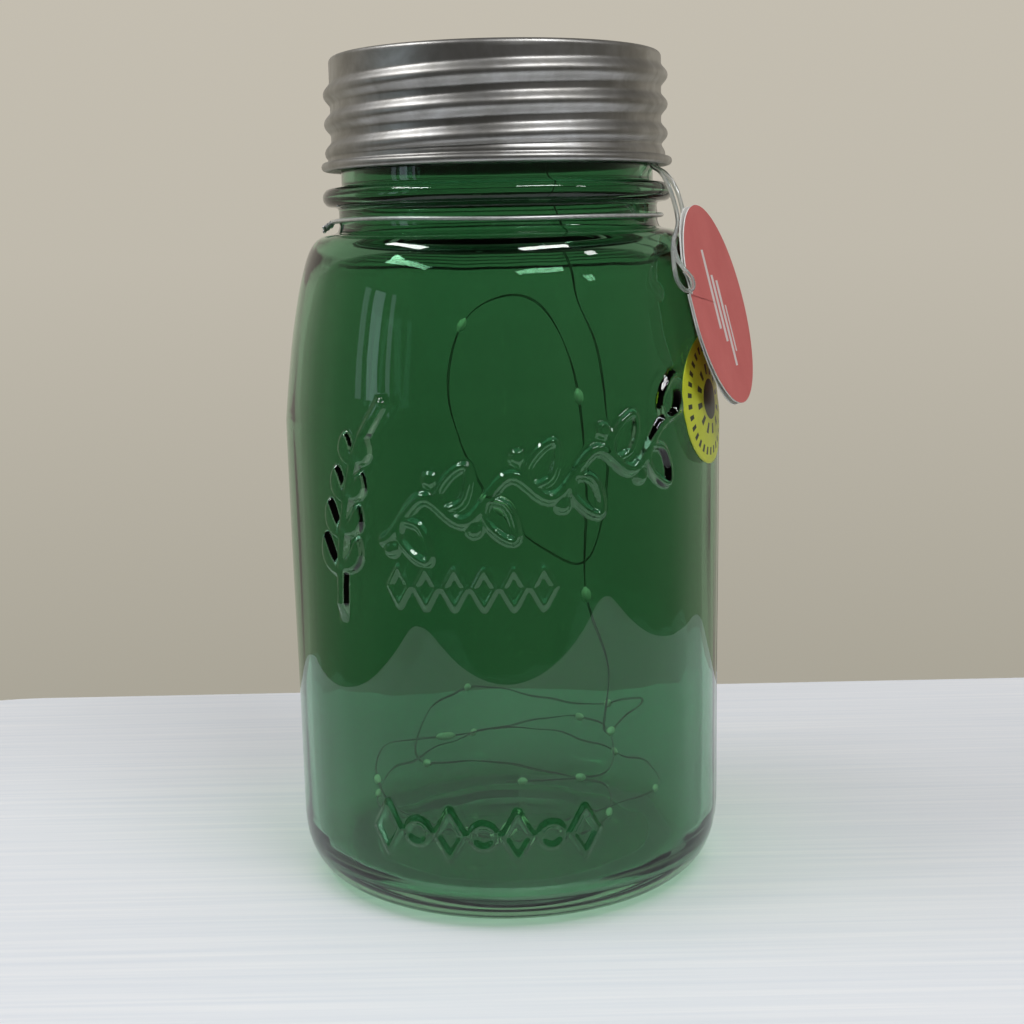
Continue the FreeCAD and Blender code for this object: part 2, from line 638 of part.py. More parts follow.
def cord_strand_points():
    """The two strands from the hem over the neck bead to the notch, joined by a bight there."""
    first = [
        polar(40.5, -6.0, 181.3), polar(43.0, -7.0, 179.5), polar(45.7, -9.0, 175.0),
        polar(47.6, -14.0, 167.5),
        tag_point(10.0, 18.5, -2.9), tag_point(2.0, 13.5, -1.6), tag_point(-0.5, 10.0, 0.1),
    ]
    bight = [
        tag_point(0.3, 7.2, 1.2), tag_point(1.5, 5.0, 0.6),
        tag_point(1.6, 4.8, -1.2), tag_point(0.4, 7.2, -2.2),
    ]
    second = [
        tag_point(-0.6, 10.5, -2.0), tag_point(5.0, 16.5, -2.4), polar(47.8, -23.5, 168.0),
        polar(45.5, -21.5, 175.2), polar(42.9, -19.5, 179.6), polar(40.5, -19.0, 181.3),
    ]
    return first + bight + second


def tag_cord():
    """The clear cord's hanging loop, which passes through the tag's notch."""
    return tube_along(cord_strand_points(), CORD_R)


def cord_tucked_end():
    """The cord's top bight, pinched between the jar's neck and the cap's skirt."""
    half = [(6.5, 182.1), (6.0, 184.5), (3.5, 186.4)]
    left = [polar(TUCK_R, TUCK_DEG + a, z) for a, z in half]
    right = [polar(TUCK_R, TUCK_DEG - a, z) for a, z in reversed(half)]
    return tube_along(left + [polar(TUCK_R, TUCK_DEG, 187.0)] + right, CORD_R)


PIECES = [
    glass_jar, side_sticker, screw_cap,
    liner_disc, rim_gasket, battery_housing, housing_screws, battery_cells, contact_springs, contact_plates,
    battery_door, door_hinge_pin, circuit_board, board_components, switch_body, switch_knob, cord_grommet,
    led_string_wire, led_beads,
    neck_wire, tag_front_leaf, tag_back_leaf, tag_cord, cord_tucked_end,
]

for piece in PIECES:
    save(piece.__name__, piece())
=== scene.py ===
import math

import bpy
import numpy as np
from mathutils import Matrix, Vector


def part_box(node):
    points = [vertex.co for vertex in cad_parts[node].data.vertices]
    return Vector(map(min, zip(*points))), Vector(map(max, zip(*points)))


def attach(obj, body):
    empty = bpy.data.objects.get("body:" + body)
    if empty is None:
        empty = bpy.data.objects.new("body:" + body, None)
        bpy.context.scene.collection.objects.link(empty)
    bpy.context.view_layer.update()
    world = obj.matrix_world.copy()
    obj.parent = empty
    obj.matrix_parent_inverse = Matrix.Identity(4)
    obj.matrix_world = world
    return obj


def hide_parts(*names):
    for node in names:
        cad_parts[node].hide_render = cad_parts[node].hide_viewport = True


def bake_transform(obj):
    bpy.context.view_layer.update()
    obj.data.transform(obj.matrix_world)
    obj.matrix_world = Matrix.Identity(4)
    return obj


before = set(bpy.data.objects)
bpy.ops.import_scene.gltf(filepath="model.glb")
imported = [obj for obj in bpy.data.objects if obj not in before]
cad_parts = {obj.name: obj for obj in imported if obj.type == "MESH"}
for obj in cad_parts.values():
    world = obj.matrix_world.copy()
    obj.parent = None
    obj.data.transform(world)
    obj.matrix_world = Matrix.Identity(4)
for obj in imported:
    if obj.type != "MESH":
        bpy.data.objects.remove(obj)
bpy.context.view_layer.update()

# A green glass storage jar with a screw cap, a neck wire, a hang tag and a light string inside.
# Lengths in this script are millimetres unless a name says metres; put() turns them into metres.
MM = 0.001


def corner(node, index):
    """A corner of a CAD node's box in millimetres: index 0 is the lowest, 1 the highest."""
    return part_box(node)[index] / MM


CAP_TOP = corner("screw_cap", 1).z


# ---- Mesh helpers -------------------------------------------------------------------------
def put(name, points, faces, smooth=True):
    """A mesh object from points in millimetres."""
    mesh = bpy.data.meshes.new(name)
    mesh.from_pydata((np.asarray(points, float) * MM).tolist(), [], faces)
    mesh.validate(clean_customdata=False)
    mesh.update()
    if smooth:
        mesh.polygons.foreach_set("use_smooth", [True] * len(mesh.polygons))
    obj = bpy.data.objects.new(name, mesh)
    bpy.context.scene.collection.objects.link(obj)
    return obj


def grid_faces(rows, columns):
    """Quads between neighbouring rows of points, where each row closes on itself."""
    faces = []
    for i in range(rows - 1):
        for j in range(columns):
            j2 = (j + 1) % columns
            faces.append((i * columns + j, i * columns + j2, (i + 1) * columns + j2, (i + 1) * columns + j))
    return faces


def around(radius, phi, z):
    """Points at a radius, an angle from the front (-Y) towards +X, and a height."""
    radius, phi, z = np.broadcast_arrays(radius, phi, z)
    return np.stack([radius * np.sin(phi), -radius * np.cos(phi), z], axis=-1)


def lathe(name, radii, heights, phi):
    """A closed turned body from (rows, columns) of radii and heights, with a point at each end."""
    rows, columns = radii.shape
    grid = around(radii, phi[None, :], heights).reshape(-1, 3)
    first = [0.0, 0.0, float(heights[0].mean())]
    last = [0.0, 0.0, float(heights[-1].mean())]
    points = np.vstack([grid, [first], [last]])
    faces = grid_faces(rows, columns)
    a, b = rows * columns, rows * columns + 1
    for j in range(columns):
        j2 = (j + 1) % columns
        faces.append((a, j2, j))
        faces.append((b, (rows - 1) * columns + j, (rows - 1) * columns + j2))
    return put(name, points, faces)


def spline(points, step):
    """A smooth curve through the points, resampled about every step millimetres."""
    p = np.asarray(points, float)
    ext = np.vstack([2 * p[0] - p[1], p, 2 * p[-1] - p[-2]])
    out = []
    for i in range(1, len(ext) - 2):
        a, b, c, d = ext[i - 1], ext[i], ext[i + 1], ext[i + 2]
        count = max(2, int(np.linalg.norm(c - b) / step))
        for t in np.arange(count) / count:
            out.append(0.5 * ((2 * b) + (c - a) * t + (2 * a - 5 * b + 4 * c - d) * t * t
                              + (3 * b - a - 3 * c + d) * t ** 3))
    out.append(p[-1])
    return np.array(out)


def sweep_frames(path):
    """Two unit vectors across the path at each point, carried along without twist."""
    tangents = np.gradient(path, axis=0)
    tangents /= np.linalg.norm(tangents, axis=1)[:, None]
    side = np.cross(tangents[0], [0.0, 0.0, 1.0])
    if np.linalg.norm(side) < 0.1:
        side = np.cross(tangents[0], [0.0, 1.0, 0.0])
    side /= np.linalg.norm(side)
    sides = [side]
    for t in tangents[1:]:
        s = sides[-1] - t * np.dot(sides[-1], t)
        sides.append(s / np.linalg.norm(s))
    sides = np.array(sides)
    return tangents, sides, np.cross(tangents, sides)


DOME_RINGS = (0.35, 0.75)    # where a rod's domed end has its rings, as shares of the radius


def tube_mesh(path, radius, sides):
    """Points and faces of a round rod along a path, with domed ends. radius may vary along the path."""
    tangents, u, v = sweep_frames(path)
    r = np.broadcast_to(radius, (len(path),)).astype(float)
    centres, radii, us, vs = list(path), list(r), list(u), list(v)
    for share in DOME_RINGS:
        k = math.sqrt(1 - share ** 2)
        centres.insert(0, path[0] - tangents[0] * r[0] * share)
        radii.insert(0, r[0] * k)
        us.insert(0, u[0])
        vs.insert(0, v[0])
        centres.append(path[-1] + tangents[-1] * r[-1] * share)
        radii.append(r[-1] * k)
        us.append(u[-1])
        vs.append(v[-1])
    centres, radii, us, vs = map(np.array, (centres, radii, us, vs))
    angle = np.linspace(0, 2 * math.pi, sides, endpoint=False)
    ring = us[:, None, :] * np.cos(angle)[None, :, None] + vs[:, None, :] * np.sin(angle)[None, :, None]
    points = (centres[:, None, :] + ring * radii[:, None, None]).reshape(-1, 3)
    n = len(centres)
    points = np.vstack([points, [path[0] - tangents[0] * r[0]], [path[-1] + tangents[-1] * r[-1]]])
    faces = grid_faces(n, sides)
    for j in range(sides):
        j2 = (j + 1) % sides
        faces.append((n * sides, j2, j))
        faces.append((n * sides + 1, (n - 1) * sides + j, (n - 1) * sides + j2))
    return points, faces


def join_parts(parts):
    """One list of points and faces from several."""
    points, faces, base = [], [], 0
    for p, f in parts:
        points.append(p)
        faces += [tuple(base + k for k in face) for face in f]
        base += len(p)
    return np.vstack(points), faces


# ---- Material helpers ---------------------------------------------------------------------
class Nodes:
    """A small builder for a node tree."""

    def __init__(self, tree):
        self.tree = tree

    def add(self, kind, **values):
        node = self.tree.nodes.new(kind)
        for key, value in values.items():
            if key in node.inputs:
                node.inputs[key].default_value = value
            else:
                setattr(node, key, value)
        return node

    def link(self, a, b):
        self.tree.links.new(a, b)

    def ramp(self, fac, stops):
        node = self.add("ShaderNodeValToRGB")
        elements = node.color_ramp.elements
        while len(elements) < len(stops):
            elements.new(0.5)
        for element, (position, colour) in zip(elements, stops):
            element.position = position
            element.color = (*colour, 1.0)
        self.link(fac, node.inputs["Fac"])
        return node.outputs["Color"]

    def share(self, value, low, high):
        """Maps low..high to 0..1."""
        node = self.add("ShaderNodeMapRange")
        node.inputs["From Min"].default_value = low
        node.inputs["From Max"].default_value = high
        self.link(value, node.inputs["Value"])
        return node.outputs["Result"]

    def span(self, fac, low, high):
        """Maps 0..1 to low..high."""
        node = self.add("ShaderNodeMapRange")
        node.inputs["To Min"].default_value = low
        node.inputs["To Max"].default_value = high
        self.link(fac, node.inputs["Value"])
        return node.outputs["Result"]

    def math(self, operation, a, b=0.0):
        node = self.add("ShaderNodeMath", operation=operation)
        for slot, value in zip(node.inputs, (a, b)):
            if isinstance(value, (int, float)):
                slot.default_value = value
            else:
                self.link(value, slot)
        return node.outputs["Value"]

    def mix(self, fac, a, b, kind="MIX"):
        node = self.add("ShaderNodeMix", data_type="RGBA", blend_type=kind)
        for slot, value in ((node.inputs[0], fac), (node.inputs[6], a), (node.inputs[7], b)):
            if isinstance(value, (int, float)):
                slot.default_value = value
            elif isinstance(value, tuple):
                slot.default_value = (*value, 1.0)
            else:
                self.link(value, slot)
        return node.outputs[2]

    def band(self, value, low, high):
        """1 where value lies between low and high."""
        above = self.math("GREATER_THAN", value, low)
        return self.math("MULTIPLY", above, self.math("LESS_THAN", value, high))

    def dot(self, vector, axis):
        node = self.add("ShaderNodeVectorMath", operation="DOT_PRODUCT")
        self.link(vector, node.inputs[0])
        node.inputs[1].default_value = list(axis)
        return node.outputs["Value"]


class Surface(Nodes):
    """A material's nodes, built round its Principled shader."""

    def __init__(self, name):
        self.material = bpy.data.materials.new(name)
        self.material.use_nodes = True
        super().__init__(self.material.node_tree)
        self.shader = self.tree.nodes["Principled BSDF"]

    def set(self, **values):
        for key, value in values.items():
            self.shader.inputs[key.replace("_", " ")].default_value = value

    def to(self, output, socket):
        self.link(output, self.shader.inputs[socket])

    def coords(self, scale=(1, 1, 1)):
        """Object coordinates in millimetres, stretched by scale."""
        texture = self.add("ShaderNodeTexCoord")
        mapping = self.add("ShaderNodeMapping")
        mapping.inputs["Scale"].default_value = [s / MM for s in scale]
        self.link(texture.outputs["Object"], mapping.inputs["Vector"])
        return mapping.outputs["Vector"]

    def noise(self, vector, scale, detail=4.0, roughness=0.55, distortion=0.0):
        node = self.add("ShaderNodeTexNoise", Scale=scale, Detail=detail, Roughness=roughness,
                        Distortion=distortion)
        self.link(vector, node.inputs["Vector"])
        return node.outputs["Fac"]

    def bump(self, height, distance_mm, strength):
        node = self.add("ShaderNodeBump")
        node.inputs["Strength"].default_value = strength
        node.inputs["Distance"].default_value = distance_mm * MM
        self.link(height, node.inputs["Height"])
        self.link(node.outputs["Normal"], self.shader.inputs["Normal"])

    def let_light_through(self, tint):
        """Light reaches what stands behind the surface, tinted, without being bent."""
        path = self.add("ShaderNodeLightPath")
        clear = self.add("ShaderNodeBsdfTransparent", Color=(*tint, 1.0))
        either = self.add("ShaderNodeMixShader")
        self.link(path.outputs["Is Shadow Ray"], either.inputs[0])
        self.link(self.shader.outputs["BSDF"], either.inputs[1])
        self.link(clear.outputs["BSDF"], either.inputs[2])
        self.link(either.outputs["Shader"], self.tree.nodes["Material Output"].inputs["Surface"])


def dress(obj, *materials):
    """Gives a piece its materials in place of those it had."""
    obj.data.materials.clear()
    for material in materials:
        obj.data.materials.append(material)


# ---- Numbers that the printed materials share with the pieces ------------------------------
WALL_R = 55.8                # radius used to lay out flat what lies on the jar's side
STICKER_DEG = 68.0           # bearing of the sticker's middle, from the front (-Y) towards +X
STICKER_Z = 124.5
STICKER_R = 16.0
TAG_R = 25.4
CARD = 0.35                  # thickness of the tag's card
TAG_CENTRE = np.array([55.2, -12.1, 147.3])
FACING_DEG = 68.5            # bearing of the tag's face, from the front towards +X
LEAN_DEG = 14.4              # how far the face looks upwards
OPEN_DEG = 3.0               # angle between the two leaves
# Plain bars on the tag: middle across, middle up, half the width, half the length
PRINT_BARS = [
    (-4.8, 4.0, 1.0, 10.0), (-1.3, -1.0, 1.0, 8.5), (2.2, -5.0, 1.0, 11.0), (5.2, -6.5, 0.6, 6.0),
]


def tag_axes():
    """The tag's directions: across (away from its fold), up (along its face) and its facing."""
    a, lean = math.radians(FACING_DEG), math.radians(LEAN_DEG)
    facing = np.array([math.cos(lean) * math.sin(a), -math.cos(lean) * math.cos(a), math.sin(lean)])
    across = np.array([math.cos(a), math.sin(a), 0.0])
    return across, np.cross(facing, across), facing


def tag_point(across_mm, up_mm, facing_mm):
    """A point in the tag's own directions, measured from the middle of its fold."""
    across, up, facing = tag_axes()
    fold = TAG_CENTRE - across * TAG_R
    return fold + across * across_mm + up * up_mm + facing * facing_mm


# ---- Materials ----------------------------------------------------------------------------
GLASS_LIGHT_TINT = (0.68, 0.76, 0.69)    # what each surface of the glass leaves of the lights' light
DASH_COUNT = 30              # dashes round the sticker's edge
RAY_COUNT = 12               # rays round its sun
DASH_BAND = (12.0, 13.9)     # radii
RAY_BAND = (6.2, 8.8)
SUN_R = 5.0
INK_COVER = 0.85             # how well the tag's white print covers the coral
CELL_BAND_AT = 13.0          # distance from the cell's middle where its copper-coloured bands start
CELL_TIP_AT = 21.2           # distance from its middle where the bare tips start


def green_glass():
    """Clear bottle green, a little uneven in tint and in its surface."""
    m = Surface("green_glass")
    tall = m.coords((1, 1, 0.12))
    m.set(Roughness=0.015, IOR=1.5, Transmission_Weight=1.0)
    tint = m.noise(tall, 0.035, 2.0)
    colour = m.ramp(tint, [(0.3, (0.150, 0.385, 0.225)), (0.7, (0.195, 0.430, 0.265))])
    m.to(colour, "Base Color")
    m.to(m.span(m.noise(m.coords(), 0.02, 2.0), 0.0, 0.02), "Roughness")
    m.bump(m.noise(tall, 0.05, 1.0, 0.3), 0.5, 0.25)
    m.let_light_through(GLASS_LIGHT_TINT)
    return m.material


def zinc():
    """Dull zinc sheet with cloudy stains and fine drawn marks."""
    m = Surface("zinc")
    plain = m.coords()
    m.set(Metallic=1.0)
    mottle = m.noise(plain, 0.09, 5.0, 0.6, 0.6)
    fine = m.noise(m.coords((1, 1, 0.25)), 0.9, 4.0, 0.7)
    base = m.ramp(mottle, [(0.30, (0.31, 0.30, 0.28)), (0.50, (0.51, 0.505, 0.49)),
                           (0.70, (0.68, 0.68, 0.68))])
    stain = m.noise(m.coords((1, 1, 0.35)), 0.16, 4.0, 0.65)
    colour = m.mix(m.span(stain, -0.25, 0.75), base, (0.34, 0.32, 0.285))
    colour = m.mix(m.span(fine, 0.0, 0.30), colour, (0.60, 0.60, 0.60))
    m.to(colour, "Base Color")
    rough = m.math("ADD", m.span(mottle, 0.47, 0.34), m.span(fine, -0.03, 0.08))
    m.to(rough, "Roughness")
    m.bump(m.noise(m.coords((1, 1, 0.15)), 1.6, 3.0, 0.6), 0.03, 0.35)
    return m.material


def galvanised_wire():
    """Bright zinc-coated wire, partly dulled."""
    m = Surface("galvanised_wire")
    m.set(Metallic=0.6)
    dull = m.noise(m.coords(), 0.6, 3.0)
    m.to(m.ramp(dull, [(0.35, (0.72, 0.73, 0.74)), (0.65, (0.90, 0.91, 0.92))]), "Base Color")
    m.to(m.span(dull, 0.30, 0.45), "Roughness")
    m.bump(m.noise(m.coords(), 3.0, 2.0), 0.02, 0.4)
    return m.material


def clear_cord():
    """Clear plastic cord, slightly hazy."""
    m = Surface("clear_cord")
    m.set(Transmission_Weight=0.72, IOR=1.45, Roughness=0.05)
    haze = m.noise(m.coords(), 0.5, 2.0)
    m.to(m.ramp(haze, [(0.3, (0.80, 0.83, 0.82)), (0.7, (0.90, 0.92, 0.91))]), "Base Color")
    m.to(m.span(haze, 0.03, 0.12), "Roughness")
    m.bump(haze, 0.05, 0.3)
    return m.material


def label_film():
    """Lime label, printed with plain dashes round its edge and a plain sun in the middle."""
    m = Surface("label_film")
    position = m.add("ShaderNodeTexCoord").outputs["Object"]
    axes = m.add("ShaderNodeSeparateXYZ")
    m.link(position, axes.inputs[0])
    x, y, z = axes.outputs
    bearing = m.math("ARCTAN2", x, m.math("MULTIPLY", y, -1.0))
    off_middle = m.math("SUBTRACT", bearing, math.radians(STICKER_DEG))
    across = m.math("MULTIPLY", off_middle, WALL_R)
    up = m.math("SUBTRACT", m.math("DIVIDE", z, MM), STICKER_Z)
    radius = m.math("SQRT", m.math("ADD", m.math("POWER", across, 2.0), m.math("POWER", up, 2.0)))
    angle = m.math("ARCTAN2", up, across)
    dash = m.math("GREATER_THAN", m.math("SINE", m.math("MULTIPLY", angle, DASH_COUNT)), 0.25)
    edge_ring = m.math("MULTIPLY", dash, m.band(radius, *DASH_BAND))
    ray = m.math("GREATER_THAN", m.math("SINE", m.math("MULTIPLY", angle, RAY_COUNT)), 0.5)
    rays = m.math("MULTIPLY", ray, m.band(radius, *RAY_BAND))
    sun = m.math("LESS_THAN", radius, SUN_R)
    ink = m.math("MAXIMUM", m.math("MAXIMUM", edge_ring, rays), sun)
    cloud = m.noise(m.coords(), 0.25, 3.0)
    film = m.ramp(cloud, [(0.3, (0.60, 0.68, 0.035)), (0.7, (0.68, 0.76, 0.05))])
    m.to(m.mix(ink, film, (0.03, 0.045, 0.03)), "Base Color")
    m.to(m.span(cloud, 0.30, 0.42), "Roughness")
    m.bump(m.noise(m.coords(), 1.5, 2.0), 0.02, 0.3)
    return m.material


def card_print():
    """Coral print on the tag's outer faces, with plain white bars along it."""
    m = Surface("card_print")
    position = m.coords()
    across_axis, up_axis, _ = tag_axes()
    offset = m.add("ShaderNodeVectorMath", operation="SUBTRACT")
    m.link(position, offset.inputs[0])
    offset.inputs[1].default_value = list(TAG_CENTRE)
    across = m.dot(offset.outputs["Vector"], across_axis)
    up = m.dot(offset.outputs["Vector"], up_axis)
    ink = None
    for bar_across, bar_up, bar_half, bar_tall in PRINT_BARS:
        wide = m.band(across, bar_across - bar_half, bar_across + bar_half)
        tall = m.band(up, bar_up - bar_tall, bar_up + bar_tall)
        bar = m.math("MULTIPLY", wide, tall)
        ink = bar if ink is None else m.math("MAXIMUM", ink, bar)
    fibre = m.noise(position, 0.8, 5.0, 0.7)
    cloud = m.noise(position, 0.06, 2.0)
    coral = m.ramp(cloud, [(0.3, (0.62, 0.13, 0.125)), (0.7, (0.69, 0.165, 0.155))])
    cover = m.math("MULTIPLY", ink, INK_COVER)
    m.to(m.mix(cover, coral, (0.80, 0.79, 0.77)), "Base Color")
    m.to(m.span(fibre, 0.55, 0.75), "Roughness")
    m.bump(fibre, 0.03, 0.35)
    return m.material


def card_white():
    """The card's bare inner faces and edges."""
    m = Surface("card_white")
    fibre = m.noise(m.coords(), 0.9, 5.0, 0.7)
    m.to(m.ramp(fibre, [(0.3, (0.72, 0.71, 0.68)), (0.7, (0.82, 0.81, 0.79))]), "Base Color")
    m.to(m.span(fibre, 0.7, 0.9), "Roughness")
    m.bump(fibre, 0.04, 0.4)
    return m.material


def moulded(name, dark, light, rough_low, rough_high, grain, depth_mm):
    """A moulded or coated surface: two close shades, uneven gloss and a fine grain."""
    m = Surface(name)
    patch = m.noise(m.coords(), 0.15, 4.0)
    m.to(m.ramp(patch, [(0.3, dark), (0.7, light)]), "Base Color")
    m.to(m.span(patch, rough_low, rough_high), "Roughness")
    m.bump(m.noise(m.coords(), grain, 3.0, 0.6), depth_mm, 0.5)
    return m.material


def plated(name, dark, light, rough_low, rough_high):
    """A plated metal with light scratches along one way."""
    m = Surface(name)
    m.set(Metallic=1.0)
    patch = m.noise(m.coords(), 0.3, 4.0)
    scratch = m.noise(m.coords((0.1, 1, 1)), 4.0, 3.0, 0.7)
    m.to(m.ramp(patch, [(0.3, dark), (0.7, light)]), "Base Color")
    m.to(m.math("ADD", m.span(patch, rough_low, rough_high), m.span(scratch, -0.05, 0.08)), "Roughness")
    m.bump(scratch, 0.01, 0.4)
    return m.material


def cell_jacket():
    """Shrunk film on a cell: blue, with a copper-coloured band near each end and bare steel tips."""
    m = Surface("cell_jacket")
    axes = m.add("ShaderNodeSeparateXYZ")
    m.link(m.coords(), axes.inputs[0])
    along = m.math("ABSOLUTE", axes.outputs["X"])
    film_noise = m.noise(m.coords((0.2, 1, 1)), 0.5, 3.0)
    film = m.ramp(film_noise, [(0.3, (0.02, 0.05, 0.16)), (0.7, (0.03, 0.07, 0.21))])
    band = m.mix(m.math("GREATER_THAN", along, CELL_BAND_AT), film, (0.55, 0.24, 0.09))
    tip = m.math("GREATER_THAN", along, CELL_TIP_AT)
    m.to(m.mix(tip, band, (0.62, 0.61, 0.58)), "Base Color")
    m.to(tip, "Metallic")
    m.to(m.span(film_noise, 0.2, 0.36), "Roughness")
    m.bump(film_noise, 0.02, 0.3)
    return m.material


def lamp_clear():
    """Pale resin drops that let a little light through."""
    m = Surface("lamp_clear")
    m.set(IOR=1.5, Transmission_Weight=0.10)
    cloud = m.noise(m.coords(), 0.9, 2.0)
    m.to(m.ramp(cloud, [(0.3, (0.80, 0.82, 0.62)), (0.7, (0.92, 0.93, 0.80))]), "Base Color")
    m.to(m.span(cloud, 0.04, 0.16), "Roughness")
    m.bump(cloud, 0.05, 0.4)
    return m.material


MATERIALS = {
    "glass": green_glass(),
    "zinc": zinc(),
    "wire": galvanised_wire(),
    "cord": clear_cord(),
    "label": label_film(),
    "print": card_print(),
    "card": card_white(),
    "cell": cell_jacket(),
    "lamp": lamp_clear(),
    "string": moulded("string_lacquer", (0.035, 0.045, 0.03), (0.09, 0.10, 0.06), 0.25, 0.45, 2.0, 0.02),
    "pack": moulded("pack_plastic", (0.012, 0.012, 0.013), (0.022, 0.022, 0.024), 0.38, 0.55, 3.0, 0.04),
    "disc": moulded("disc_plastic", (0.30, 0.29, 0.27), (0.38, 0.37, 0.35), 0.4, 0.6, 2.0, 0.03),
    "rubber": moulded("rubber", (0.45, 0.42, 0.37), (0.55, 0.52, 0.46), 0.65, 0.85, 2.5, 0.03),
    "board": moulded("board", (0.01, 0.07, 0.025), (0.015, 0.11, 0.04), 0.3, 0.45, 2.0, 0.02),
    "component": moulded("component_plastic", (0.01, 0.01, 0.01), (0.03, 0.03, 0.03), 0.35, 0.6, 4.0, 0.02),
    "knob": moulded("knob_plastic", (0.60, 0.60, 0.58), (0.72, 0.72, 0.70), 0.4, 0.55, 2.5, 0.03),
    "screw": plated("screw_steel", (0.45, 0.45, 0.46), (0.62, 0.62, 0.63), 0.25, 0.4),
    "contact": plated("contact_metal", (0.60, 0.57, 0.50), (0.74, 0.71, 0.64), 0.18, 0.3),
}


# ---- The jar ------------------------------------------------------------------------------
RELIEF_HIGH = 1.35           # height of the bold strokes
RELIEF_LOW_SHARE = 0.6       # height of the two borders, as a share of RELIEF_HIGH
RELIEF_EDGE = 1.0            # width of the sloping edge of a raised stroke


def stroke(points, half_width, taper=False):
    """Raised stroke on the flat layout: samples of (across, height, half width)."""
    path = spline([(x, 0.0, z) for x, z in points], 0.35)
    share = np.linspace(0, 1, len(path))
    width = np.full(len(path), half_width, float)
    if taper:
        width = half_width * (0.18 + 0.82 * np.sin(math.pi * share) ** 0.75)
    return np.column_stack([path[:, 0], path[:, 2], width])


def leaf(root, angle_deg, length, half_width, bend):
    """A plump leaf that grows from root in a direction, bending a little."""
    a = math.radians(angle_deg)
    b = math.radians(angle_deg + bend)
    x, z = root
    mid = (x + 0.5 * length * math.cos(a), z + 0.5 * length * math.sin(a))
    tip = (mid[0] + 0.5 * length * math.cos(b), mid[1] + 0.5 * length * math.sin(b))
    return stroke([root, mid, tip], half_width, taper=True)


def outline(centre, half_x, half_z, sides, half_width):
    """A closed many-sided or round outline, drawn as straight strokes."""
    corners = []
    for k in range(sides + 1):
        a = 2 * math.pi * k / sides
        corners.append((centre[0] + half_x * math.cos(a), centre[1] + half_z * math.sin(a)))
    samples = []
    for (x0, z0), (x1, z1) in zip(corners[:-1], corners[1:]):
        t = np.linspace(0, 1, max(2, int(math.hypot(x1 - x0, z1 - z0) / 0.3)))
        samples.append(np.column_stack([x0 + (x1 - x0) * t, z0 + (z1 - z0) * t,
                                        np.full(len(t), half_width)]))
    return np.vstack(samples)


def leaf_loop(root, angle_deg, length, half_span, half_width):
    """A leaf drawn as a closed loop that starts and ends at its root."""
    a = math.radians(angle_deg)
    along, aside = (math.cos(a), math.sin(a)), (-math.sin(a), math.cos(a))

    def at(u, v):
        return (root[0] + u * along[0] + v * aside[0], root[1] + u * along[1] + v * aside[1])

    return stroke([root, at(0.3 * length, half_span), at(0.75 * length, 0.75 * half_span), at(length, 0.0),
                   at(0.75 * length, -0.75 * half_span), at(0.3 * length, -half_span), root], half_width)


def sprig():
    """A tall stem with four pairs of leaves, at the left."""
    parts = [stroke([(-43.0, 78.0), (-42.0, 92.0), (-39.6, 105.0), (-35.6, 117.0), (-29.5, 127.5)], 2.0)]
    for k in range(4):
        z = 86.0 + 9.0 * k
        x = -42.7 + 0.005 * (z - 80.0) ** 2
        parts.append(leaf((x, z), 140 - 5 * k, 12.0 - 1.2 * k, 2.7, -36))
        parts.append(leaf((x, z + 1.5), 36 - 3 * k, 11.0 - 1.4 * k, 2.5, 40))
    return parts


VINE_TURNS = 7               # bends of the vine, each with a leaf and a berry
VINE_STEPS = 6               # points of the vine between two bends
LOOP_HALF_WIDTH = 1.25


def vine():
    """A wavy stem that rises to the right, with looped leaves and berries on both sides by turns."""
    stem = []
    for k in range(VINE_TURNS * VINE_STEPS + 1):
        share = k / (VINE_TURNS * VINE_STEPS)
        wave = 3.9 * math.cos(math.pi * VINE_TURNS * share)
        stem.append((-29.0 + 71.0 * share, 100.0 + 18.0 * share - wave))
    parts = [stroke(stem, 1.65)]
    for k in range(VINE_TURNS):
        bend = stem[VINE_STEPS * k + VINE_STEPS // 2]
        way = 1 if k % 2 else -1
        parts.append(leaf_loop(bend, 62 if way > 0 else -58, 11.5, 2.9, LOOP_HALF_WIDTH))
        berry = (bend[0] - 3.0, bend[1] + 7.0 * way)
        parts.append(stroke([bend, (bend[0] - 2.0, bend[1] + 3.6 * way), berry], 0.8))
        parts.append(np.array([[berry[0], berry[1], 2.2]]))
    parts.append(leaf_loop(stem[-1], 62, 12.0, 3.0, LOOP_HALF_WIDTH))
    return parts


def borders():
    """A row of lozenges under the vine, and a row of lozenges and rings near the foot."""
    parts = []
    for k in range(6):
        parts.append(outline((-25.5 + 6.9 * k, 85.5), 2.6, 4.6, 4, 0.8))
    for k in range(7):
        centre = (-31.0 + 8.2 * k, 25.0)
        if k % 2:
            parts.append(outline(centre, 2.9, 2.9, 16, 1.1))
        else:
            parts.append(outline(centre, 3.4, 6.0, 4, 1.1))
    return parts


RELIEF_BATCH = 150           # stroke samples handled at a time


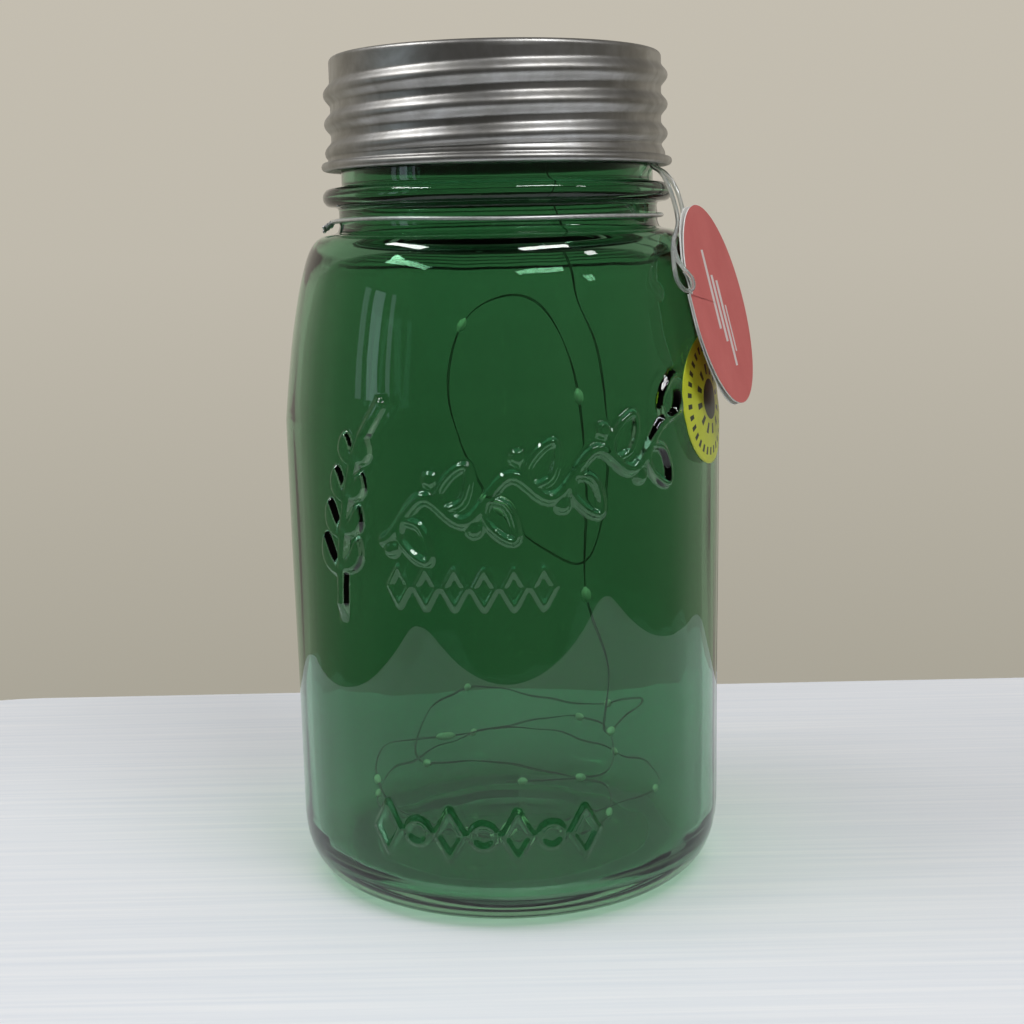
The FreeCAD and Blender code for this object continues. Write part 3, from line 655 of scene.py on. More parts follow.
def raised(across, height, samples, top):
    """Height of the relief at each point: strokes with a steep rounded edge and a softly domed top."""
    result = np.zeros(len(across))
    for start in range(0, len(samples), RELIEF_BATCH):
        part = samples[start:start + RELIEF_BATCH]
        reach = part[:, 2].max() + 0.5
        near = np.nonzero((across > part[:, 0].min() - reach) & (across < part[:, 0].max() + reach)
                          & (height > part[:, 1].min() - reach) & (height < part[:, 1].max() + reach))[0]
        if not len(near):
            continue
        dx = across[near, None] - part[None, :, 0]
        dz = height[near, None] - part[None, :, 1]
        distance = np.sqrt(dx * dx + dz * dz)
        inside = np.clip((part[None, :, 2] - distance).max(axis=1), 0, None)
        share = np.clip(1 - (distance / part[None, :, 2]).min(axis=1), 0, 1)
        edge = np.clip(inside / RELIEF_EDGE, 0, 1)
        dome = np.sqrt(np.clip(1 - (1 - share) ** 2, 0, 1))
        shape = 0.70 * edge * edge * (3 - 2 * edge) + 0.30 * dome
        result[near] = np.maximum(result[near], top * shape)
    return result


def steps(*runs):
    """Values from several (start, end, spacing) runs, in order, without repeats."""
    values = []
    for start, end, spacing in runs:
        count = max(1, int(round(abs(end - start) / spacing)))
        values += list(np.linspace(start, end, count, endpoint=False))
    return np.array(values)


def smooth_profile(points, spacing):
    """A smooth outline through (radius, height) points."""
    path = spline([(r, 0.0, z) for r, z in points], spacing)
    return path[:, [0, 2]]


SWELL_HIGH = 0.115           # height of the outer wall's waves
SWELL_LENGTH = 21.0          # a wave's height along the jar, divided by 2 pi
SWELL_PHASE = 0.19
RELIEF_ROWS = (16, 150)      # heights between which the wall carries the relief
SEAM_ROWS = (9, 172)         # heights between which the mould seams run
WALL_MIN_R = 50              # the wall proper is wider than this


def swell(phi, z):
    """Gentle waves of the outer wall, which bend the reflection of the table's edge."""
    fade = np.clip((z - 22.0) / 25.0, 0, 1) * np.clip((158.0 - z) / 25.0, 0, 1)
    waves = np.cos(7.0 * phi) - 0.32 * np.cos(14.0 * phi) + 0.10 * np.cos(21.0 * phi)
    waves = waves + 0.2 * np.sin(3.0 * phi + 0.4)
    return SWELL_HIGH * waves * np.sin(z / SWELL_LENGTH + SWELL_PHASE) * fade


# The jar's outlines as (radius, height)
UNDERSIDE = [(0.6, 2.2), (10, 2.03), (20, 1.53), (30, 0.68), (35.6, 0.05), (36.6, 0.0)]
STANDING_RING = [(36.6, 0.0), (40, 0.0), (45.2, 0.0)]
HEEL = [(45.2, 0.0), (47.6, 0.55), (50.5, 2.1), (52.8, 4.5), (54.3, 7.4), (55.2, 10.8), (55.6, 15.0)]
SHOULDER = [(56.0, 120), (55.1, 128.8), (53.6, 140.2), (51.5, 151.5), (49.5, 159.0), (48.0, 162.7),
            (46.3, 165.0), (44.2, 166.1), (42.0, 166.5), (40.9, 167.0), (40.4, 168.4)]
UNDER_BEAD = [(40.4, 170.0), (40.42, 172.2), (40.75, 172.85)]
OVER_BEAD = [(40.2, 177.85), (39.7, 178.05), (39.5, 178.5)]
INSIDE = [(36.2, 203.0), (36.2, 185.0), (36.2, 171.0), (36.8, 166.4), (39.0, 163.8), (42.5, 161.7),
          (44.7, 159.2), (46.4, 155.6), (48.1, 150.0), (50.3, 140.0), (51.8, 129.0), (52.6, 118.0),
          (52.5, 70.0), (52.35, 15.6)]
INNER_FLOOR = [(52.3, 15.0), (51.7, 11.8), (50.0, 9.1), (47.2, 7.3), (43.0, 6.6), (30.0, 6.95),
               (15.0, 7.3), (0.6, 7.4)]
BODY_R_LOW = 55.6            # the body widens a little from the heel to the shoulder
BODY_R_HIGH = 56.0
BODY_LOW = 15.0
BODY_TOP = 120.0
FINISH_R = 39.5              # the threaded part over the bead
BEAD_Z = 175.4
BEAD_R = 44.35
BEAD_MIDDLE_R = 41.95        # where the bead's half round has its middle
BEAD_HALF = 2.4
FINE = 0.43                  # mesh spacing where the relief is
FRONT_ACROSS = (-57.0, 47.0)  # the width of the wall that holds the relief
SEAM_AT = (1.45, 1.45 + math.pi)  # angles of the two mould seams, from the front
SEAM_HALF = 0.006
SEAM_HIGH = 0.16


def jar_outer():
    """The outside's outline from the middle of the underside up to the inner edge of the rim."""
    parts = [smooth_profile(UNDERSIDE, 4.0), smooth_profile(STANDING_RING, 3.0), smooth_profile(HEEL, 1.0)]
    straight = steps((BODY_LOW, 20.5, 1.2), (20.5, 37.5, 0.46), (37.5, 79.0, 3.0), (79.0, BODY_TOP, FINE))
    share = (straight - BODY_LOW) / (BODY_TOP - BODY_LOW)
    parts.append(np.column_stack([BODY_R_LOW + (BODY_R_HIGH - BODY_R_LOW) * share, straight]))
    parts.append(smooth_profile(SHOULDER[:2], FINE))
    parts.append(smooth_profile(SHOULDER[1:], 0.8))
    parts.append(np.array(UNDER_BEAD))
    turn = np.linspace(-math.pi / 2, math.pi / 2, 15)
    parts.append(np.column_stack([BEAD_MIDDLE_R + (BEAD_R - BEAD_MIDDLE_R) * np.cos(turn),
                                  BEAD_Z + BEAD_HALF * np.sin(turn)]))
    parts.append(np.array(OVER_BEAD))
    finish = steps((179.2, 204.6, 0.62))
    parts.append(np.column_stack([np.full(len(finish), FINISH_R), finish]))
    turn = np.linspace(0, math.pi, 13)
    parts.append(np.column_stack([37.85 + 1.65 * np.cos(turn), 204.7 + 1.1 * np.sin(turn) ** 0.8]))
    outline_points = np.vstack(parts)
    gaps = np.linalg.norm(np.diff(outline_points, axis=0), axis=1)
    return outline_points[np.concatenate([[True], gaps > 0.02])]


def build_jar():
    """The glass as one closed body: outside with its relief, then the inside back down to the floor."""
    front = steps((FRONT_ACROSS[0], FRONT_ACROSS[1], FINE)) / WALL_R
    rest = steps((FRONT_ACROSS[1], 2 * math.pi * WALL_R + FRONT_ACROSS[0], 3.6)) / WALL_R
    seams = np.array([k + d * SEAM_HALF for k in SEAM_AT for d in (-2, -1, 0, 1, 2)])
    phi = np.sort(np.concatenate([front, rest, seams]))
    outer = jar_outer()
    inner = np.vstack([smooth_profile(INSIDE, 5.0), smooth_profile(INNER_FLOOR, 2.4)])
    radii = np.repeat(outer[:, 0:1], len(phi), axis=1)
    heights = np.repeat(outer[:, 1:2], len(phi), axis=1)
    deep, shallow = np.vstack(sprig() + vine()), np.vstack(borders())
    spread = np.where(phi > math.pi, phi - 2 * math.pi, phi)
    across = (np.broadcast_to(spread[None, :], radii.shape) * WALL_R).ravel()
    up = heights.ravel()
    bold = raised(across, up, deep, RELIEF_HIGH)
    lift = np.maximum(bold, raised(across, up, shallow, RELIEF_LOW_SHARE * RELIEF_HIGH))
    wall = (outer[:, 1] > RELIEF_ROWS[0]) & (outer[:, 1] < RELIEF_ROWS[1]) & (outer[:, 0] > WALL_MIN_R)
    radii += lift.reshape(radii.shape) * wall[:, None]
    radii += swell(phi[None, :], outer[:, 1:2]) * (outer[:, 0:1] > WALL_MIN_R)
    seam = sum(np.exp(-((phi - k) / SEAM_HALF) ** 2) for k in SEAM_AT)
    seam_rows = ((outer[:, 1] > SEAM_ROWS[0]) & (outer[:, 1] < SEAM_ROWS[1])).astype(float)
    radii += SEAM_HIGH * seam[None, :] * seam_rows[:, None]
    radii += glass_thread(outer, phi)
    ripple = (0.22 * np.sin(3 * phi + 0.7) + 0.14 * np.sin(7 * phi + 2.1) + 0.09 * np.sin(13 * phi + 4.0)
              + 0.05 * np.sin(29 * phi))
    inner_r = np.repeat(inner[:, 0:1], len(phi), axis=1)
    inner_z = np.repeat(inner[:, 1:2], len(phi), axis=1)
    body = np.clip((inner[:, 0] - 44) / 6, 0, 1) * np.clip((inner[:, 1] - 9) / 12, 0, 1)
    inner_r += ripple[None, :] * body[:, None]
    jar = lathe("jar_glass", np.vstack([radii, inner_r]), np.vstack([heights, inner_z]), phi)
    dress(jar, MATERIALS["glass"])
    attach(jar, "jar")
    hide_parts("glass_jar")


# The screw thread, right-handed. Its centre line is at THREAD_ZERO_Z, half a turn from +X.
PITCH = 7.1
THREAD_ZERO_Z = 186.2
GLASS_THREAD_DEG = (420.0, 990.0)    # where the glass thread starts and ends, from +X
GLASS_THREAD_HIGH = 2.3
GLASS_THREAD_HALF = 1.5
GLASS_THREAD_FADE_DEG = 30.0
GLASS_THREAD_ROWS = (178.6, 204.4)


def thread_ridge(phi, z, from_deg, to_deg, height, half_width, fade_deg):
    """Height of a helical rib at points on a wall. It fades in and out at its ends."""
    from_x = np.degrees(phi) - 90.0
    result = np.zeros(np.broadcast(phi, z).shape)
    for k in range(-1, 5):
        degrees = from_x + 360.0 * k
        centre = THREAD_ZERO_Z + PITCH * (degrees - 180.0) / 360.0
        fade = np.clip((degrees - from_deg) / fade_deg, 0, 1) * np.clip((to_deg - degrees) / fade_deg, 0, 1)
        fade = fade * fade * (3 - 2 * fade)
        d = np.clip(np.abs(z - centre) / half_width, 0, 1)
        bump = 0.5 + 0.5 * np.cos(math.pi * d ** 1.15)
        result = np.maximum(result, height * fade * bump)
    return result


def glass_thread(profile, phi):
    """Height of the glass thread at each point of the jar's outside."""
    z = profile[:, 1:2]
    ridge = thread_ridge(phi[None, :], z, *GLASS_THREAD_DEG, GLASS_THREAD_HIGH, GLASS_THREAD_HALF,
                         GLASS_THREAD_FADE_DEG)
    rows = (z > GLASS_THREAD_ROWS[0]) & (z < GLASS_THREAD_ROWS[1])
    return ridge * rows


# ---- The screw cap ------------------------------------------------------------------------
SKIRT_R = 41.6               # outside radius of the plain skirt
SHEET = 0.4
HEM_R = 43.2                 # middle of the rolled hem
HEM_Z = 183.0
HEM_ROLL_R = 1.1
RIDGE_FROM_TO_DEG = (92.0, 1118.0)    # the helical ridge, from +X
RIDGE_OUT_HIGH = 1.62
RIDGE_OUT_HALF = 3.0
RIDGE_IN_HIGH = 1.58
RIDGE_IN_HALF = 2.8
RIDGE_FADE_DEG = 40.0
FLARE_TOP = 187.4            # where the skirt starts to widen towards the hem
FLARE_TALL = 2.6
CORNER_R = 1.2               # rounding between the top and the skirt
SKIRT_LOW = 184.3
# The top's outline as (radius, depth under the cap's highest plane), outside and inside
TOP_OUTSIDE = [(0.6, 0.55), (12, 0.52), (24, 0.48), (33, 0.42), (36.2, 0.35), (37.6, 0.15), (38.8, 0.02),
               (40.1, 0.0)]
TOP_INSIDE = [(41.1, 0.95), (40.8, 0.85), (38.0, 0.8), (20.0, 0.9), (0.6, 0.95)]


def ridged(outline_points, rows, base_r, phi, high, half):
    """Radii and heights of an outline turned round the axis, with the helical ridge on some of its rows."""
    heights = np.repeat(outline_points[:, 1:2], len(phi), axis=1)
    radii = np.repeat(outline_points[:, 0:1], len(phi), axis=1)
    ridge = thread_ridge(phi[None, :], heights, *RIDGE_FROM_TO_DEG, high, half, RIDGE_FADE_DEG)
    ridge_r = np.where(ridge > 0, base_r + ridge, 0)
    return np.where(rows[:, None], np.maximum(radii, ridge_r), radii), heights


def build_cap():
    """The cap as one thin closed sheet: top, skirt with its helical ridge, rolled hem, then the inside."""
    phi = np.linspace(0, 2 * math.pi, 320, endpoint=False)
    top = CAP_TOP
    corner_turn = np.linspace(math.pi / 2, 0, 8)
    skirt = steps((top - 1.6, SKIRT_LOW, 0.3))
    flare = np.clip((FLARE_TOP - skirt) / FLARE_TALL, 0, 1)
    hem_turn = np.linspace(math.radians(115), math.radians(-180), 22)
    outside = np.vstack([
        [(radius, top - depth) for radius, depth in TOP_OUTSIDE],
        np.column_stack([SKIRT_R - CORNER_R + CORNER_R * np.cos(corner_turn),
                         top - CORNER_R + CORNER_R * np.sin(corner_turn)]),
        np.column_stack([SKIRT_R + flare * flare * (3 - 2 * flare), skirt]),
        np.column_stack([HEM_R + HEM_ROLL_R * np.cos(hem_turn), HEM_Z + HEM_ROLL_R * np.sin(hem_turn)]),
    ])
    inner_skirt = steps((183.6, 185.2, 0.4), (186.2, top - 1.3, 0.5))
    inner_r = np.where(inner_skirt < 185.6, SKIRT_R - SHEET + 1.0, SKIRT_R - SHEET)
    inside = np.vstack([
        np.column_stack([inner_r, inner_skirt]),
        [(radius, top - depth) for radius, depth in TOP_INSIDE],
    ])
    is_skirt = ((outside[:, 0] > SKIRT_R - 0.1) & (outside[:, 1] > SKIRT_LOW - 0.2)
                & (outside[:, 1] < top - 1.5))
    is_inner = (inside[:, 0] > SKIRT_R - SHEET - 0.05) & (inside[:, 1] < top - 1.6)
    radii_out, heights_out = ridged(outside, is_skirt, SKIRT_R, phi, RIDGE_OUT_HIGH, RIDGE_OUT_HALF)
    radii_in, heights_in = ridged(inside, is_inner, SKIRT_R - SHEET, phi, RIDGE_IN_HIGH, RIDGE_IN_HALF)
    dent = 0.05 * np.sin(5 * phi + 1.0) + 0.035 * np.sin(11 * phi + 0.3)
    radii_out += dent[None, :] * is_skirt[:, None]
    radii = np.vstack([radii_out, radii_in])
    heights = np.vstack([heights_out, heights_in])
    cap = lathe("cap_shell", radii[::-1], heights[::-1], phi)
    dress(cap, MATERIALS["zinc"])
    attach(cap, "cap")
    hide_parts("screw_cap")


# ---- The neck wire ------------------------------------------------------------------------
def polar(radius, degrees, z):
    """A point at an angle measured from +X towards +Y."""
    a = math.radians(degrees)
    return [radius * math.cos(a), radius * math.sin(a), z]


WIRE_R = 0.5
WIRE_RING_R = 41.75
WIRE_Z = 169.6
WIRE_START_DEG = 186.0
WIRE_SPAN_DEG = 356.0
TAIL_TURNS = 1.3             # how often the two twisted ends wind round each other


def build_neck_wire():
    """A slightly uneven ring of wire, with its two ends twisted together at the left."""
    count = 180
    ring = []
    for k in range(count + 1):
        a = WIRE_START_DEG + WIRE_SPAN_DEG * k / count
        wave = math.radians(a)
        radius = WIRE_RING_R + 0.18 * math.sin(3 * wave) + 0.07 * math.sin(8 * wave)
        z = WIRE_Z + 0.30 * math.sin(2 * wave + 0.6) + 0.12 * math.sin(5 * wave)
        bent_out = 0.35 * max(0.0, 1 - min(k, count - k) / 7.0)
        ring.append(polar(radius + bent_out, a, z - bent_out))
    parts = [tube_mesh(np.array(ring), WIRE_R, 12)]
    for phase in (0.0, math.pi):
        strand = []
        for k in range(25):
            share = k / 24.0
            angle = phase + TAIL_TURNS * 2 * math.pi * share
            x, y, z = polar(42.0 + 2.3 * share, 184.0 + 5.0 * share, 169.2 - 1.5 * share)
            strand.append([x, y + 0.5 * math.cos(angle), z + 0.5 * math.sin(angle)])
        parts.append(tube_mesh(np.array(strand), 0.48, 10))
    points, faces = join_parts(parts)
    wire = put("neck_wire_loop", points, faces)
    dress(wire, MATERIALS["wire"])
    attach(wire, "wire")
    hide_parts("neck_wire")


# ---- The hang tag and its cord ------------------------------------------------------------
SPINE_HALF = 3.5             # half the length of the straight fold
SPINE_HALF_DEG = 7.9         # the same as an angle of the tag's circle
NOTCH_DEG = 21.0             # angle of the circle at which the notch starts, from the fold
NOTCH_R = 3.0
NOTCH_ACROSS = 0.6
NOTCH_UP = 6.3
CHAMFER = 0.06               # softened edge of the card
FACE_RINGS = (0.8, 0.6, 0.4, 0.2)    # rings of a leaf's face, as shares of its outline


def leaf_outline():
    """The leaf's edge in its own plane, from the fold round to the notch: (across, up)."""
    fold_in = TAG_R - math.sqrt(TAG_R ** 2 - SPINE_HALF ** 2) + 0.1
    edge = [(fold_in, -SPINE_HALF)]
    for k in range(1, 200):
        a = math.radians(180.0 + SPINE_HALF_DEG + (360.0 - SPINE_HALF_DEG - NOTCH_DEG) * k / 199.0)
        edge.append((TAG_R + TAG_R * math.cos(a), TAG_R * math.sin(a)))
    for k in range(1, 24):
        a = math.radians(70.0 - 170.0 * k / 24.0)
        point = (NOTCH_ACROSS + NOTCH_R * math.cos(a), NOTCH_UP + NOTCH_R * math.sin(a))
        if point[0] > fold_in:
            edge.append(point)
    edge.append((fold_in, SPINE_HALF + 0.35))
    return edge


def card_leaf(name, facing_mm, open_deg, print_side, body, node):
    """One leaf as a thin card with a real edge. print_side is 1 or -1 for the face that is printed."""
    rim = leaf_outline()
    _, up, _ = tag_axes()
    hinge = tag_point(0.2, 0, -CARD - 0.05)
    points, faces = [], []
    centre = np.array([TAG_R, 0.0])
    n = len(rim)
    layers = [(facing_mm, CHAMFER), (facing_mm - CHAMFER, 0.0), (facing_mm - CARD + CHAMFER, 0.0),
              (facing_mm - CARD, CHAMFER)]
    for height, inset in layers:
        for x, z in rim:
            p = np.array([x, z])
            d = centre - p
            p = p + d / np.linalg.norm(d) * inset
            points.append(tag_point(p[0], p[1], height))
    for layer in range(3):
        for j in range(n):
            j2 = (j + 1) % n
            faces.append((layer * n + j, (layer + 1) * n + j, (layer + 1) * n + j2, layer * n + j2))
    printed = []
    for side, height, base in ((1, facing_mm, 0), (-1, facing_mm - CARD, 3 * n)):
        last = base
        first_face = len(faces)
        for share in FACE_RINGS:
            start = len(points)
            for x, z in rim:
                p = centre + (np.array([x, z]) - centre) * share
                points.append(tag_point(p[0], p[1], height))
            for j in range(n):
                j2 = (j + 1) % n
                quad = (last + j, last + j2, start + j2, start + j)
                faces.append(quad if side > 0 else quad[::-1])
            last = start
        middle = len(points)
        points.append(tag_point(TAG_R, 0, height))
        for j in range(n):
            j2 = (j + 1) % n
            tri = (last + j, last + j2, middle)
            faces.append(tri if side > 0 else tri[::-1])
        if side == print_side:
            printed = range(first_face, len(faces))
    points = np.array(points)
    if open_deg:
        turn = Matrix.Rotation(math.radians(open_deg), 3, Vector(up))
        points = (points - hinge) @ np.array(turn).T + hinge
    obj = put(name, points, faces, smooth=False)
    dress(obj, MATERIALS["card"], MATERIALS["print"])
    for index in printed:
        obj.data.polygons[index].material_index = 1
    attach(obj, body)
    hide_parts(node)


CORD_R = 0.55
TUCK_R = 40.4                # the cord's top lies between the jar and the cap
TUCK_DEG = -12.5


def build_cord():
    """One clear loop: up under the cap's hem, down both sides, and round the tag's fold in its notch."""
    half = [(-6.0, 182.1), (-6.5, 184.5), (-9.0, 186.4)]
    up_left = [polar(TUCK_R, a, z) for a, z in reversed(half)]
    up_right = [polar(TUCK_R, 2 * TUCK_DEG - a, z) for a, z in half]
    first = [polar(40.5, -6.0, 181.3), polar(43.0, -7.0, 179.5), polar(45.75, -9.0, 175.0),
             polar(47.7, -14.0, 167.5), tag_point(10.0, 18.5, -2.9), tag_point(2.0, 13.5, -1.6),
             tag_point(-0.5, 10.0, 0.1)]
    bight = [tag_point(0.3, 7.2, 1.2), tag_point(1.5, 5.0, 0.6), tag_point(1.6, 4.8, -1.2),
             tag_point(0.4, 7.2, -2.2)]
    second = [tag_point(-0.6, 10.5, -2.0), tag_point(5.0, 16.5, -2.4), polar(47.9, -23.5, 168.0),
              polar(45.6, -21.5, 175.2), polar(42.9, -19.5, 179.6), polar(40.5, -19.0, 181.3)]
    summit = [polar(TUCK_R, TUCK_DEG, 187.0)]
    loop = summit + up_left + first + bight + second + up_right + summit
    path = spline(np.array([list(p) for p in loop]), 0.5)
    points, faces = tube_mesh(path, CORD_R, 12)
    cord = put("cord_loop", points, faces)
    dress(cord, MATERIALS["cord"])
    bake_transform(cord)
    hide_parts("tag_cord", "cord_tucked_end")


# ---- The light string ---------------------------------------------------------------------
GROMMET = (11.0, -23.6)
STRAND_R = 0.13              # each of the string's two twisted strands
STRAND_OFF = 0.17            # how far a strand lies from the string's middle
TWIST_LENGTH = 9.0
COIL_POINTS = 58
COIL_TURNS = 3.4
COIL_START_DEG = -50.0
COIL_LOWEST = 10.5
LAMP_COUNT = 20
LAMP_FIRST = 130.0           # length of string before the first lamp
LAMP_LAST = 6.0              # length of string after the last lamp
LAMP_R = 1.1
LAMP_HALF = 1.6


def string_points():
    """Points along the string: from the grommet, down in a wide loop, into a loose coil at the foot."""
    gx, gy = GROMMET
    hanging = [
        (gx, gy, 189.8), (gx, gy, 184.5),
        (13.5, -26.5, 172.0), (17.0, -29.5, 158.0), (18.5, -30.0, 150.0), (23.0, -35.5, 136.0),
        (24.5, -39.5, 112.0), (20.0, -42.5, 90.0), (10.0, -44.5, 92.0), (-3.0, -45.0, 105.0),
        (-12.0, -43.0, 126.0), (-10.0, -37.5, 143.0), (-1.0, -33.5, 151.0), (9.0, -33.0, 149.5),
        (17.0, -38.5, 134.0), (19.5, -42.0, 108.0), (19.0, -43.0, 82.0), (24.0, -40.5, 62.0),
    ]
    coil = []
    for index in range(COIL_POINTS):
        share = index / (COIL_POINTS - 1.0)
        turned = COIL_TURNS * 360.0 * share
        radius = 37.0 - 9.0 * math.sin(2.3 * math.pi * share) - 7.0 * share
        z = 42.0 - 30.0 * share ** 0.7 + 4.0 * math.sin(math.radians(2.6 * turned)) * (1 - 0.6 * share)
        coil.append(polar(radius, COIL_START_DEG + turned, max(z, COIL_LOWEST)))
    return np.array([list(p) for p in hanging + coil], float)


def build_light_string():
    """Two fine twisted strands with a lamp drop at even steps. The string runs from the grommet under the cap
    down to a loose coil at the foot.
    """
    path = spline(string_points(), 1.0)
    tangents, u, v = sweep_frames(path)
    length = np.concatenate([[0], np.cumsum(np.linalg.norm(np.diff(path, axis=0), axis=1))])
    twist = length / TWIST_LENGTH
    parts = []
    for phase in (0.0, math.pi):
        offset = u * np.cos(twist + phase)[:, None] + v * np.sin(twist + phase)[:, None]
        parts.append(tube_mesh(path + STRAND_OFF * offset, STRAND_R, 6))
    points, faces = join_parts(parts)
    wire = put("light_string_wire", points, faces)
    dress(wire, MATERIALS["string"])
    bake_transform(wire)
    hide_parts("led_string_wire")
    lamps = []
    for index in range(LAMP_COUNT):
        along = LAMP_FIRST + (length[-1] - LAMP_FIRST - LAMP_LAST) * index / (LAMP_COUNT - 1.0)
        k = int(np.searchsorted(length, along))
        centre, t = path[k], tangents[k]
        body = np.linspace(-LAMP_HALF, LAMP_HALF, 9)
        radius = LAMP_R * np.sqrt(np.clip(1 - (np.abs(body) / 1.72) ** 2.6, 0, 1))
        lamps.append(tube_mesh(centre + body[:, None] * t[None, :], radius, 12))
    points, faces = join_parts(lamps)
    drops = put("light_string_lamps", points, faces)
    dress(drops, MATERIALS["lamp"])
    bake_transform(drops)
    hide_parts("led_beads")


# ---- The side sticker ---------------------------------------------------------------------
def body_radius(z):
    """The outside radius of the jar's wall at a height, without its waves."""
    wall = [(BODY_R_LOW, BODY_LOW)] + SHOULDER[:4]
    return np.interp(z, [height for _, height in wall], [radius for radius, _ in wall])


STICKER_RINGS = 26
STICKER_THICK = 0.13
STICKER_GLUE = 0.03          # how far the back of the sticker stands off the glass
STICKER_INNERMOST = 0.02     # the smallest ring, as a share of the radius
EDGE_FROM = 0.93             # the edge lifts from this share of the radius outwards
EDGE_LIFT = 0.10


def build_sticker():
    """A thin round label on the glass, with a slightly lifted edge."""
    columns = 120
    angle = np.linspace(0, 2 * math.pi, columns, endpoint=False)
    outwards = np.linspace(STICKER_INNERMOST, 1.0, STICKER_RINGS)
    layers = []
    for thick, shares in ((STICKER_THICK, outwards), (STICKER_GLUE, outwards[::-1])):
        for share in shares:
            across = STICKER_R * share * np.cos(angle)
            up = STICKER_R * share * np.sin(angle)
            z = STICKER_Z + up
            lifted = EDGE_LIFT * max(0.0, share - EDGE_FROM) / (1 - EDGE_FROM)
            lifted = lifted * (0.5 + 0.5 * np.cos(angle * 3 + 0.6))
            bearing = math.radians(STICKER_DEG) + np.arcsin(across / body_radius(z))
            layers.append(around(body_radius(z) + swell(bearing, z) + thick + lifted, bearing, z))
    grid = np.array(layers)
    rows = len(grid)
    points = np.vstack([grid.reshape(-1, 3), grid[0].mean(axis=0)[None, :], grid[-1].mean(axis=0)[None, :]])
    faces = [face[::-1] for face in grid_faces(rows, columns)]
    for j in range(columns):
        j2 = (j + 1) % columns
        faces.append((rows * columns, j, j2))
        faces.append((rows * columns + 1, (rows - 1) * columns + j2, (rows - 1) * columns + j))
    sticker = put("side_label", points, faces)
    dress(sticker, MATERIALS["label"])
    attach(sticker, "jar")
    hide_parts("side_sticker")


# ---- Pieces carried over from the design --------------------------------------------------
CARRIED = {
    "liner_disc": "disc", "rim_gasket": "rubber", "battery_housing": "pack", "housing_screws": "screw",
    "battery_cells": "cell", "contact_springs": "contact", "contact_plates": "contact",
    "battery_door": "pack", "door_hinge_pin": "screw", "circuit_board": "board",
    "board_components": "component", "switch_body": "component", "switch_knob": "knob",
    "cord_grommet": "rubber",
}


def build_object():
    """All the pieces: those made here, then the materials of those carried over from the design."""
    build_jar()
    build_cap()
    build_neck_wire()
    card_leaf("tag_outer_leaf", 0.0, 0.0, 1, "tag_front", "tag_front_leaf")
    card_leaf("tag_inner_leaf", -CARD - 0.1, OPEN_DEG, -1, "tag_back", "tag_back_leaf")
    build_cord()
    build_sticker()
    build_light_string()
    for node, material in CARRIED.items():
        dress(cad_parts[node], MATERIALS[material])


# ---- Table, surroundings, lights and camera -----------------------------------------------
TABLE_LEFT = -235.0
TABLE_RIGHT = 300.0
TABLE_FRONT = -268.0
TABLE_BACK = 151.0
TABLE_THICK = 18.0
TABLE_CORNER = 60.0
TABLE_EDGE = 2.0             # rounding of the table's edge
CAMERA_AT = (0.002, -0.406, 0.167)
CAMERA_DOWN_DEG = 10.3
CAMERA_ROLL_DEG = -1.2
CAMERA_LENS_MM = 54.84
CAMERA_SENSOR_MM = 36.0


def table_paint():
    """White paint brushed on along the table, with faint cooler streaks."""
    m = Surface("table_paint")
    streak = m.noise(m.coords((0.008, 0.5, 1)), 0.9, 3.0, 0.6)
    cloud = m.noise(m.coords((0.2, 1, 1)), 0.01, 3.0)
    base = m.ramp(streak, [(0.32, (0.68, 0.71, 0.765)), (0.68, (0.78, 0.79, 0.82))])
    m.to(m.mix(m.span(cloud, 0.0, 0.25), base, (0.72, 0.72, 0.72)), "Base Color")
    m.to(m.span(streak, 0.40, 0.60), "Roughness")
    m.bump(streak, 0.06, 0.3)
    return m.material


def build_table():
    """A plain table top with round corners, under the jar."""
    corners = []
    for cx, cy, first in ((TABLE_RIGHT, TABLE_FRONT, -90), (TABLE_RIGHT, TABLE_BACK, 0),
                          (TABLE_LEFT, TABLE_BACK, 90), (TABLE_LEFT, TABLE_FRONT, 180)):
        middle_x = cx - math.copysign(TABLE_CORNER, cx)
        middle_y = cy - math.copysign(TABLE_CORNER, cy)
        for k in range(13):
            a = math.radians(first + 90.0 * k / 12)
            corners.append((middle_x + TABLE_CORNER * math.cos(a), middle_y + TABLE_CORNER * math.sin(a)))
    points, faces = [], []
    layers = ((TABLE_EDGE, 0.0), (0.6, -0.6), (0.0, -TABLE_EDGE), (0.0, TABLE_EDGE - TABLE_THICK),
              (TABLE_EDGE, -TABLE_THICK))
    for inset, z in layers:
        for x, y in corners:
            points.append((x - math.copysign(inset, x), y - math.copysign(inset, y), z))
    n = len(corners)
    for layer in range(4):
        for j in range(n):
            j2 = (j + 1) % n
            faces.append((layer * n + j, (layer + 1) * n + j, (layer + 1) * n + j2, layer * n + j2))
    faces.append(tuple(range(n)))
    faces.append(tuple(reversed(range(4 * n, 5 * n))))
    table = put("table", points, faces, smooth=False)
    dress(table, table_paint())


WALL_LOW = (0.40, 0.375, 0.31)      # the wall behind the table, low down
WALL_MIDDLE = (0.525, 0.49, 0.415)
WALL_HIGH = (0.57, 0.53, 0.45)


def grey(value):
    """A neutral colour."""
    return (value, value, value)


# How bright the room is along each ray, from the front (0) to the back (1)
ROOM_DEPTH = [(0.0, grey(0.07)), (0.35, grey(0.13)), (0.55, grey(0.28)), (0.80, grey(0.85)), (1.0, grey(1.0))]
CEILING_DARK = grey(0.12)


